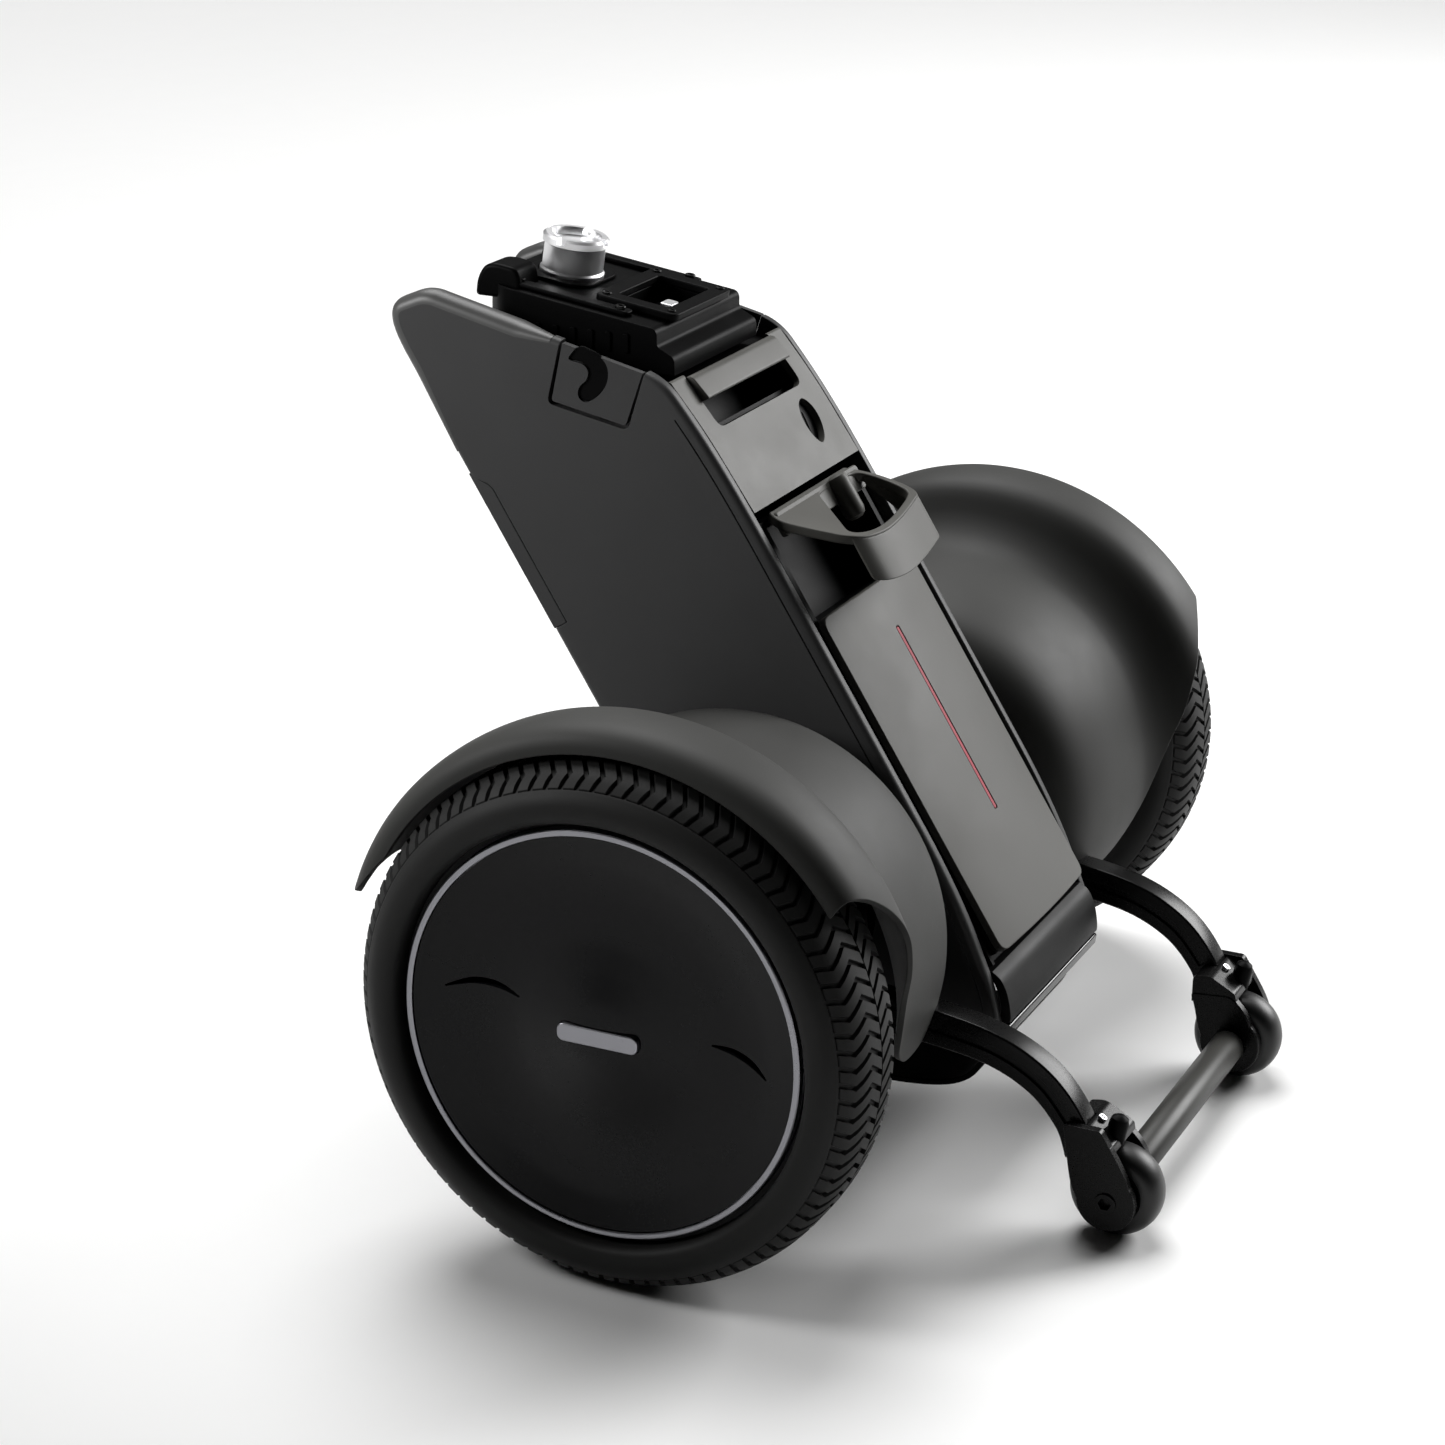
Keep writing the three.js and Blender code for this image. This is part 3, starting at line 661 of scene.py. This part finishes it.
# The battery's handle: (across, up the slope) points, the hole's with the radius of their corners
HANDLE_EDGE = [
    (-51, -1), (-57, 11), (-51, 34), (-46, 43), (-38, 49), (-21, 52), (2, 50.5), (30, 46), (42, 43),
    (48, 34), (50, 19), (48, 8), (44, -1),
]
HANDLE_HOLE = [
    (-4, 6, 4), (-42, 40, 5), (-34, 46, 8), (-18, 48, 14), (2, 46.5, 14), (29, 42, 12), (42, 38, 10),
    (46, 20, 12), (44, 7, 8), (30, 5, 4),
]
HANDLE_MIDDLE = Vector((0, -24))
SKIRT_SPAN = slice(3, 12)
SKIRT_THICK = 4.2
SKIRT_TALL = 24.5


def build_handle_rim():
    plate = prism(smooth_line([(x, -up) for x, up in HANDLE_EDGE], 6), -5, 0, "z")
    opening = prism(fillet([(x, -up, radius) for x, up, radius in HANDLE_HOLE], 8), -12, 8, "z")
    piece("handle_rim", cut(plate, opening), HANDLE, "battery", "warm_grey", ["battery_handle"], bevel=1.1)


def build_handle_skirt():
    """The wall that hangs from the rim down along the body, lower towards one end."""
    down_body = LEAN.to_3x3().normalized() @ Vector((0, 0, -1))
    drop = HANDLE.to_3x3().normalized().inverted() @ down_body
    line = smooth_line([(x, -up) for x, up in HANDLE_EDGE[SKIRT_SPAN]], 6)
    last = len(line) - 1
    skirt = bmesh.new()
    rows = []
    for i, p in enumerate(line):
        inward = leftward(line, i) * SKIRT_THICK
        if inward.dot(HANDLE_MIDDLE - p) < 0:
            inward = -inward
        step = Vector((*inward, 0))
        top = Vector((*p, -1.0))
        bottom = top + drop * (SKIRT_TALL * min(1, 0.25 + (last - i) / 14))
        rows.append([skirt.verts.new(v) for v in (top, bottom, bottom + step, top + step)])
    loft(skirt, rows)
    bmesh.ops.recalc_face_normals(skirt, faces=skirt.faces)
    piece("handle_skirt", skirt, HANDLE, "battery", "warm_grey", bevel=1.2, segments=4)


def build_handle_root():
    profile = [(146, 0), (146.4, 3), (148, 5.2), (151, 6), (168, 6), (170.4, 5.2), (171.6, 3), (172, 0)]
    boss = shift(moved(lathe(profile, 40), UPRIGHT), 18, BODY_REAR - 5.5, 0)
    piece("handle_boss", boss, LEAN, "battery", "warm_grey", bevel=0)
    root = prism(rectangle(-53, 50, 157.5, 171, 3), -98.6, -95, "y")
    piece("handle_root", root, LEAN, "battery", "warm_grey", bevel=0.8)


# The deck and the block that carries the docking gear
def build_deck():
    line = [(68, 385.5, 1.5), (130, 389.5, 1.5), (199, 393.5, 1.5)]
    room = box(52, 70, 84, 116, 370, 400)
    deck = cut(prism(band(line, 6), -COVER_HALF, COVER_HALF), room, mirrored(room))
    piece("deck", deck, STAND, "base", "matt_black", ["top_deck"], bevel=0.6)


def build_dock_block():
    side = fillet([
        (69, 391.8, 0), (69, 401, 3), (79, 406, 2), (79, 414.8, 4), (186, 430, 7), (186, 397, 0),
    ])
    plan = fillet([
        (-50, 60, 3), (50, 60, 3), (50, 168, 8), (33, 184, 16), (0, 189, 20), (-33, 184, 16), (-50, 168, 8),
    ], 8)
    blank = common(prism(side, -50, 50), prism(plan, 380, 450, "z"))
    recess = moved(box(-26, 26, -44, -13, -14, 12), Matrix.Translation(DOCK_AT) @ DOCK_TILT)
    block = cut(blank, recess)
    piece("dock_block", block, STAND, "base", "matt_black", ["docking_bracket"], bevel=1.8, segments=4)
    cheek = fillet([(158, 420, 0), (160, 436, 5), (178, 438.6, 10), (184, 430, 6), (185, 420, 0)])
    pair("dock_cheek", prism(cheek, 24, 46), STAND, "base", "matt_black", bevel=2.2, segments=4)


def build_connector():
    opening = prism(rectangle(-24, 24, -43, -14, 3), -3, 8, "z")
    rim = cut(prism(rectangle(-34, 34, -52, -5, 5), 0.5, 4.5, "z"), opening)
    piece("connector_rim", rim, DOCK, "base", "matt_black", ["connector_frame"], bevel=0.9)
    blade_x = (-9, 9)
    slots = [prism(rectangle(x - 6, x + 6, -35.5, -21.5, 2), -8.4, -5, "z") for x in blade_x]
    socket = cut(prism(rectangle(-17, 17, -38, -19, 3), -13.5, -7, "z"), *slots)
    piece("connector_plug", socket, DOCK, "base", "gloss_black", ["connector_socket"], bevel=0.6)
    for x, side in zip(blade_x, ("left", "right")):
        blade = prism(rectangle(x - 5, x + 5, -32, -25, 1.6), -8.4, -3.4, "z")
        node = f"connector_contact_{side}"
        piece(f"connector_blade_{side}", blade, DOCK, "base", "bright_steel", [node], bevel=0.8)
    heads = screws(2.4, 1.2, (-29, 29), (-47, -10), 4.3)
    piece("connector_screws", heads, DOCK, "base", "arm_black", bevel=0.15)


# The docking pin with its collar, and the rails beside it
PIN_Y = 25


def build_dock_rails():
    hole = prism(circle(17.6, 48, PIN_Y), -2, 4, "z")
    collar = cut(prism(rectangle(-23, 23, 6, 46, 14, 10), 0.2, 1.9, "z"), hole)
    piece("pin_collar", collar, DOCK, "base", "matt_black", bevel=0.5)
    rail_x = (-41, 41)
    for x, side in zip(rail_x, ("left", "right")):
        rail = prism(rectangle(x - 4, x + 4, -30, 40, 3), 0.3, 2.6, "z")
        piece(f"dock_rail_{side}", rail, DOCK, "base", "matt_black", bevel=0.8)
    heads = screws(2.8, 1.6, rail_x, (-24, 34), 2.6)
    piece("dock_screws", heads, DOCK, "base", "arm_black", bevel=0.15)
    ribs = [prism(rectangle(y - 1.5, y + 1.5, 401, 411, 1), 49.6, 51.2) for y in range(96, 176, 10)]
    pair("dock_ribs", merged(*ribs), STAND, "base", "matt_black", bevel=0.3)


def build_docking_pin():
    """A flanged pin with a hollow head that four slots cross."""
    top, r = 21.9, 17
    post = lathe([
        (0.5, 0), (0.5, r), (3, r), (4, r - 1), (top - 5.4, r - 1), (top - 5, r - 0.8),
        (top - 4.4, r + 0.4), (top - 1.2, r + 0.4), (top, r - 1), (top, r - 4), (top - 1, r - 4.6),
        (top - 4, r - 5), (top - 4.6, 6), (top - 4.6, 0),
    ], 96)
    turns = [Matrix.Rotation(k * math.pi / 2, 4, "X") for k in range(4)]
    slots = [moved(box(top - 3, top + 2, -2.4, 2.4, r - 6, r + 3), turn) for turn in turns]
    pin = shift(moved(cut(post, *slots), UPRIGHT), 0, PIN_Y, 0)
    piece("docking_post", pin, DOCK, "base", "bright_steel", ["docking_pin"], bevel=0.45)


# The belly pan
def build_belly():
    line = [(-122, 72), (-108, 47), (-80, 38), (-35, 38), (4, 50), (22, 76)]
    sheet = band([(y, z, 1.5) for y, z in line], 8)
    piece("belly", prism(sheet, -62, 62), STAND, "base", "matt_black", ["belly_pan"], bevel=0.8)


# Fenders: (distance from the middle, radius, rear end and front end in degrees from the top)
FENDER = [
    (259, 135.5, 55.1, 61), (258.6, 140, 54.4, 68), (256, 144.5, 53.9, 73), (250, 147.8, 54.5, 73.2),
    (242, 148.8, 56, 72), (232, 148.8, 59, 70.6), (224, 147.8, 62.2, 69.3), (218, 146.2, 65.5, 68.5),
    (213, 143.4, 68.5, 68.5), (209, 139.8, 71.6, 69.5), (205, 135.2, 76, 72), (201, 130.6, 79.6, 75),
    (196, 126, 83.8, 80), (190, 121.8, 89.8, 86), (184, 119, 96, 92), (178, 117.2, 101, 97),
    (168, 116.2, 105.5, 101), (150, 115.2, 110.4, 106), (124, 113.4, 112, 108), (98, 108.5, 112.6, 109),
    (84, 98, 112.6, 109), (78, 84, 112.6, 109),
]
FENDER_STEPS = 110
FENDER_THICK = 3.3


def fender_skin():
    """The fender's outside as an open sheet that faces up."""
    skin = bmesh.new()
    rows = []
    for x, radius, rear, front in softened(FENDER, 2):
        row = []
        for k in range(FENDER_STEPS + 1):
            turn = math.radians(-rear + (rear + front) * k / FENDER_STEPS)
            row.append(skin.verts.new((x, radius * math.sin(turn), WHEEL_RADIUS + radius * math.cos(turn))))
        rows.append(row)
    for a, b in zip(rows, rows[1:]):
        for k in range(FENDER_STEPS):
            skin.faces.new((a[k], b[k], b[k + 1], a[k + 1]))
    bmesh.ops.recalc_face_normals(skin, faces=skin.faces)
    if max(skin.faces, key=lambda face: face.calc_center_median().z).normal.z < 0:
        bmesh.ops.reverse_faces(skin, faces=skin.faces)
    return skin


def build_fenders():
    shell = holder(fender_skin())
    thick = shell.modifiers.new("thick", "SOLIDIFY")
    thick.thickness, thick.offset, thick.use_even_offset = FENDER_THICK, -1, True
    solid = taken(shell)
    pair("fender_shell", solid, STAND, "base", "fender_satin", "fender", bevel=1.0, segments=4, angle=55)


# Tyres
LUGS = 96
LUG_PITCH = math.tau / LUGS
LUG_DEPTH = 2.3
LUG_ROOT = 1.2
LUG_END_DROP = 0.5
ZIGZAG = [(0.5, 0.0), (11, 0.05), (22, 0.0), (27.8, 0.022)]
TREAD_HALF = 33.1


def tread_radius(x):
    return WHEEL_RADIUS * (1 - 0.12 * abs(x / TREAD_HALF) ** 3.7)


def tyre_carcass():
    """The tyre under its lugs: a crowned tread, rounded shoulders and side walls down to the rim."""
    under = [(x, tread_radius(x) - LUG_DEPTH) for x in (0, 6, 12, 18, 23, 26)]
    side = [
        (27.6, 122.4), (28.6, 122.9), (30, 121.3), (31.4, 119.2), (32.5, 116.6), (33.05, 113.4),
        (32.8, 110.4), (31.6, 108), (29.6, 106.7), (27, 106.3), (20.6, 106.1),
    ]
    right = smooth_line(under, 3)[:-1] + smooth_line([under[-1], *side], 4)
    outline = [(-p.x, p.y) for p in right[::-1]][:-1] + [(p.x, p.y) for p in right]
    return lathe([*outline, (20.4, 103.4), (-20.4, 103.4)], 192, closed=True)


def lug_stations():
    """Places along a lug, from the middle of the tread out: (distance, turn ahead)."""
    stations = []
    for (x0, a0), (x1, a1) in zip(ZIGZAG, ZIGZAG[1:]):
        stations += [(x0 + (x1 - x0) * k / 3, a0 + (a1 - a0) * k / 3) for k in range(3)]
    return [*stations, ZIGZAG[-1]]


def lug_section(x, middle, drop):
    """A lug's four corners at one place, as (turn, radius): wide at the root, narrow at the top."""
    wide, narrow = LUG_PITCH * 0.40, LUG_PITCH * 0.33
    top = tread_radius(x) - drop
    base = top - LUG_DEPTH - LUG_ROOT
    return (middle - wide, base), (middle - narrow, top), (middle + narrow, top), (middle + wide, base)


def tyre_lugs():
    """Zigzag lugs on both halves of the tread, the outer half's moved on by half a pitch."""
    lugs = bmesh.new()
    stations = lug_stations()
    for side in (-1, 1):
        for n in range(LUGS):
            rows = []
            for x, lead in stations:
                middle = (n + (0.5 if side > 0 else 0)) * LUG_PITCH + lead
                section = lug_section(x, middle, LUG_END_DROP if x == stations[-1][0] else 0)
                spots = [(side * x, r * math.sin(a), r * math.cos(a)) for a, r in section]
                rows.append([lugs.verts.new(spot) for spot in spots])
            loft(lugs, rows)
    bmesh.ops.recalc_face_normals(lugs, faces=lugs.faces)
    return lugs


def build_tyres():
    pair("tyre_carcass", tyre_carcass(), WHEEL, "wheel_{side}", "tyre_rubber", "tyre", bevel=0)
    pair("tyre_lugs", tyre_lugs(), WHEEL, "wheel_{side}", "tyre_rubber", bevel=0, angle=25)


# Rims, wheel covers and what is on them: profiles of (distance out from the wheel's middle, radius)
RIM_PROFILE = [
    (-34, 12.4), (14, 12.4), (14, 26), (8, 28), (8, 92), (21.5, 95), (21.5, 103), (-27, 103), (-27, 96),
    (2, 92), (2, 28), (-34, 26),
]
DISH_PROFILE = [
    (25.6, 99.2), (23.9, 93), (20.9, 81), (18.9, 66), (19.2, 50), (22.4, 32), (26.2, 14), (27.3, 0),
]
RING_PROFILE = [(22, 99.7), (22, 102.8), (26.4, 102.8), (26.8, 102.2), (26.8, 100.4), (26.4, 99.7)]


def build_rims():
    rim = lathe(RIM_PROFILE, 96, closed=True)
    pair("rim_shell", rim, WHEEL, "wheel_{side}", "alloy", "rim", bevel=0.6)


def build_wheel_covers():
    dish = smooth_line(DISH_PROFILE, 6)
    disc = lathe([(16, 0), (16, 60), (21.4, 99.2), *[tuple(p) for p in dish]], 128)
    front = band([(84, 8, 0.5), (70, 12.6, 1.7), (57, 12.6, 1.7), (45, 9, 0.5)], 6)
    rear = band([(-84, -6, 0.5), (-76, 0, 1.7), (-66, 3.6, 1.7), (-55, 4.6, 0.5)], 6)
    seat = prism(rectangle(-21.4, 21.4, -4.9, 4.9, 4.2), 23.6, 40)
    cover = cut(disc, seat, *[prism(slot, 10, 40) for slot in (front, rear)])
    pair("disc_cover", cover, WHEEL, "wheel_{side}", "cover_black", "wheel_cover", bevel=0.4)
    ring = lathe(RING_PROFILE, 160, closed=True)
    pair("disc_ring", ring, WHEEL, "wheel_{side}", "trim_silver", "cover_ring", bevel=0)
    badge = prism(rectangle(-21, 21, -4.5, 4.5, 4, 8), 23.7, 28.2)
    pair("disc_badge", badge, WHEEL, "wheel_{side}", "trim_silver", "hub_badge", bevel=0.7)


# Anti-tip arms: (forward, up, half-width) along each arm's middle
ARM_LINE = [
    (-63, 99, 10), (-105, 96.5, 9.5), (-140, 90.5, 9), (-165, 78, 8.5), (-181, 60, 8), (-187, 43, 7.5),
]
BRACKET_IN = ROLLER_X[0] - 1
BRACKET_OUT = ROLLER_X[1] + 1


def arm_outline(grow):
    return band([(y, z, half + grow) for y, z, half in ARM_LINE], 8)


def at_roller(solid):
    return shift(solid, 0, ROLLER_Y, ROLLER_RADIUS)


def roller_room():
    return at_roller(rod(ROLLER_RADIUS + 1.6, BRACKET_IN, ARM_X[1] + 0.6, 64))


def arm_room():
    return prism(arm_outline(0.6), ARM_X[0] - 0.6, ARM_X[1] + 0.6)


def build_arms():
    inside, outside = ARM_X
    tube = cut(prism(arm_outline(0), inside, outside, "x", 2.6, 2.6), roller_room())
    channel = band([(y, z, 2.1) for y, z, _ in ARM_LINE[1:5]], 8)
    outer_channel = prism(channel, outside - 1.6, outside + 1)
    inner_channel = prism(channel, inside - 1, inside + 1.6)
    tube = cut(tube, outer_channel, inner_channel)
    pair("arm", tube, STAND, "base", "arm_black", "support_arm", bevel=0.5)


# Brackets that hold the rollers at the ends of the arms
OUTER_NECK = fillet([
    (-180, 62, 2), (-183, 42, 8), (-186, 27, 14), (-196, 14, 4), (-217, 28, 4), (-213, 40, 8), (-199, 62, 2),
])
INNER_NECK = fillet([
    (-180, 50, 3), (-183, 42, 8), (-186, 27, 14), (-196, 14, 4), (-217, 28, 4), (-213, 42, 8), (-203, 52, 4),
])
BRIDGE_OUTLINE = fillet([(-181, 45, 0), (-181, 60, 3), (-190, 61.5, 3), (-205, 53.5, 2), (-206, 48, 0)])


def bracket_ear(radius, x0, x1, neck):
    """A plate round the roller's pin that runs up a neck to the arm."""
    plate = join(at_roller(rod(radius, x0, x1, 64)), prism(neck, x0, x1))
    bore = at_roller(rod(4.4, 70, 140, 32))
    return cut(plate, bore, arm_room())


def build_brackets():
    near = bracket_ear(15, ARM_X[1] + 0.7, BRACKET_OUT + 8, OUTER_NECK)
    far = bracket_ear(16.5, BRACKET_IN - 5.5, BRACKET_IN - 0.1, INNER_NECK)
    bridge = cut(prism(BRIDGE_OUTLINE, BRACKET_IN - 5, BRACKET_OUT + 7), roller_room(), arm_room())
    pair("bracket_outer", near, STAND, "base", "arm_black", "roller_bracket", bevel=1.6, segments=4)
    pair("bracket_inner", far, STAND, "base", "arm_black", bevel=1.3, segments=4)
    pair("bracket_bridge", bridge, STAND, "base", "arm_black", bevel=1.0)


def build_bracket_stops():
    nub = lathe([(50, 0), (50, 5), (62, 5), (64.6, 4.2), (66, 2.2), (66.3, 0)], 32)
    stop = moved(moved(nub, UPRIGHT), Matrix.Rotation(0.2, 4, "X"))
    pair("bracket_stop", shift(stop, 104, -191, 0), STAND, "base", "matt_black", bevel=0)
    head = moved(moved(bolt(2.3, 1.8), UPRIGHT), Matrix.Rotation(0.55, 4, "X"))
    bolts = [shift(head.copy(), 102, -193.6, 59.6), shift(head, 106.5, -201.6, 55.2)]
    pair("bracket_bolts", merged(*bolts), STAND, "base", "bright_steel", bevel=0.2)


# Rollers, their pins and the bar between them
def build_rollers():
    low, high = ROLLER_X
    middle, half = (low + high) / 2, (high - low) / 2
    turns = [math.radians(a) for a in range(-88, 89, 8)]
    curve = [(middle + half * math.sin(turn), 14 + 10 * math.cos(turn) ** 0.62) for turn in turns]
    tread = lathe([(low, 15.4), *curve, (high, 15.4)], 96, closed=True)
    pair("roller_tread", at_roller(tread), STAND, "roller_{side}", "roller_rubber", "roller_tyre", bevel=0)
    inside = [(low, 4.4), (low, 6.6), (low + 1.6, 7.4), (low + 1.6, 13.4), (low, 14.2), (low, 15)]
    outside = [(low + high - x, r) for x, r in inside[::-1]]
    core = lathe([*inside, *outside], 64, closed=True)
    pair("roller_core", at_roller(core), STAND, "roller_{side}", "matt_black", "roller_hub", bevel=0.4)


def build_roller_pins():
    start, end = BRACKET_IN - 5, BRACKET_OUT + 9
    pin = lathe([
        (start, 0), (start, 4), (end - 1.2, 4), (end - 1.2, 5.6), (end - 0.3, 5.6), (end, 5.2), (end, 0),
    ], 48)
    pin = at_roller(cut(pin, prism(circle(3.3, 6), end - 3.4, end + 1)))
    pair("roller_axle", pin, STAND, "base", "arm_black", "roller_pin", bevel=0.25)


def build_rear_bar():
    end = BRACKET_IN - 6
    bar = at_roller(lathe([(-end, 0), (-end, 8), (2 - end, 9), (end - 2, 9), (end, 8), (end, 0)], 64))
    piece("rear_bar", bar, STAND, "base", "bar_grey", ["cross_bar"], bevel=0.3)


build_panels()
build_latches()
build_front_cover()
build_front_strips()
build_rear_cover()
build_key_port()
build_release_handle()
build_lower_trim()
build_battery()
build_handle_rim()
build_handle_skirt()
build_handle_root()
build_deck()
build_dock_block()
build_connector()
build_dock_rails()
build_docking_pin()
build_belly()
build_fenders()
build_tyres()
build_rims()
build_wheel_covers()
build_arms()
build_brackets()
build_bracket_stops()
build_rollers()
build_roller_pins()
build_rear_bar()


# Studio: places and sizes here are in metres
FLOOR_HALF = 9
FLOOR_DROP = 0.0002
SKY_BRIGHTEST = (0.82, 0.42, 0.39)
SUN_WAY = Vector((-0.45, -0.35, -1))
LAMP_AIM = Vector((0, 0.15, 0.35))
LAMPS = [
    {"name": "left", "at": (-0.6, 0.70, 0.70), "size": 0.4, "watts": 1.75, "spread": 90},
    {"name": "rear", "at": (2.6, -1.6, 1.6), "size": 1.8, "watts": 115, "spread": 180},
]


def aimed(direction):
    return direction.to_track_quat("-Z", "Y").to_euler()


def build_floor():
    """White paper that shows and takes shadows but throws no light back on the part."""
    floor = bmesh.new()
    corners = rectangle(-FLOOR_HALF, FLOOR_HALF, -FLOOR_HALF, FLOOR_HALF)
    floor.faces.new([floor.verts.new((x, y, 0)) for x, y in corners])
    data = bpy.data.meshes.new("floor")
    floor.to_mesh(data)
    data.materials.append(shader("floor_paper", (0.93, 0.93, 0.925), 0.7, vary=0.01, rough_vary=0.03))
    ground = bpy.data.objects.new("floor", data)
    bpy.context.scene.collection.objects.link(ground)
    ground.location.z = -FLOOR_DROP
    ground.visible_diffuse = False


def build_world():
    """A sky that is brightest on one side and nearly dark on the other."""
    world = bpy.data.worlds.new("studio")
    world.use_nodes = True
    tree = world.node_tree
    sky = tree.nodes["Background"]
    place = tree.nodes.new("ShaderNodeTexCoord")
    facing = tree.nodes.new("ShaderNodeVectorMath")
    facing.operation = "DOT_PRODUCT"
    facing.inputs[1].default_value = SKY_BRIGHTEST
    ramp = tree.nodes.new("ShaderNodeMapRange")
    ramp.interpolation_type = "SMOOTHSTEP"
    ramp.inputs["From Min"].default_value = -0.5
    ramp.inputs["From Max"].default_value = 0.9
    ramp.inputs["To Min"].default_value = 0.03
    ramp.inputs["To Max"].default_value = 1.0
    tree.links.new(place.outputs["Generated"], facing.inputs[0])
    tree.links.new(facing.outputs["Value"], ramp.inputs["Value"])
    tree.links.new(ramp.outputs[0], sky.inputs["Strength"])
    bpy.context.scene.world = world


def build_sun():
    sun = bpy.data.lights.new("overhead", "SUN")
    sun.energy, sun.angle = 2.8, math.radians(42)
    over = bpy.data.objects.new("overhead", sun)
    over.rotation_euler = aimed(SUN_WAY)
    bpy.context.scene.collection.objects.link(over)


def build_lamps():
    for lamp in LAMPS:
        light = bpy.data.lights.new(lamp["name"], "AREA")
        light.shape, light.size, light.energy = "DISK", lamp["size"], lamp["watts"]
        light.spread = math.radians(lamp["spread"])
        holder_of_light = bpy.data.objects.new(lamp["name"], light)
        holder_of_light.location = lamp["at"]
        holder_of_light.rotation_euler = aimed(LAMP_AIM - Vector(lamp["at"]))
        bpy.context.scene.collection.objects.link(holder_of_light)


# Camera: degrees round the part, above it and of roll, and millimetres
AZIMUTH, ELEVATION, ROLL = (math.radians(a) for a in (-65.34, 19.91, 0.90))
CAMERA_TARGET = Vector((0, -50, 130))
CAMERA_DISTANCE = 1832.25
CAMERA_ACROSS = -100.79
CAMERA_UP = 75.81
LENS_MM = 86.58685
SENSOR_MM = 36


def build_camera():
    level = math.cos(ELEVATION)
    back = Vector((math.sin(AZIMUTH) * level, -math.cos(AZIMUTH) * level, math.sin(ELEVATION)))
    flat = Vector((math.cos(AZIMUTH), math.sin(AZIMUTH), 0))
    rise = back.cross(flat)
    right = flat * math.cos(ROLL) + rise * math.sin(ROLL)
    up = rise * math.cos(ROLL) - flat * math.sin(ROLL)
    at = CAMERA_TARGET + right * CAMERA_ACROSS + up * CAMERA_UP + back * CAMERA_DISTANCE
    lens = bpy.data.cameras.new("camera")
    lens.lens, lens.sensor_width = LENS_MM, SENSOR_MM
    camera = bpy.data.objects.new("camera", lens)
    turn = Matrix((right, up, back)).transposed().to_4x4()
    camera.matrix_world = Matrix.Translation(at * 0.001 + Vector((0, AXLE_Y, 0))) @ turn
    bpy.context.scene.collection.objects.link(camera)
    bpy.context.scene.camera = camera


build_floor()
build_world()
build_sun()
build_lamps()
bpy.context.scene.view_settings.view_transform = "Standard"
build_camera()
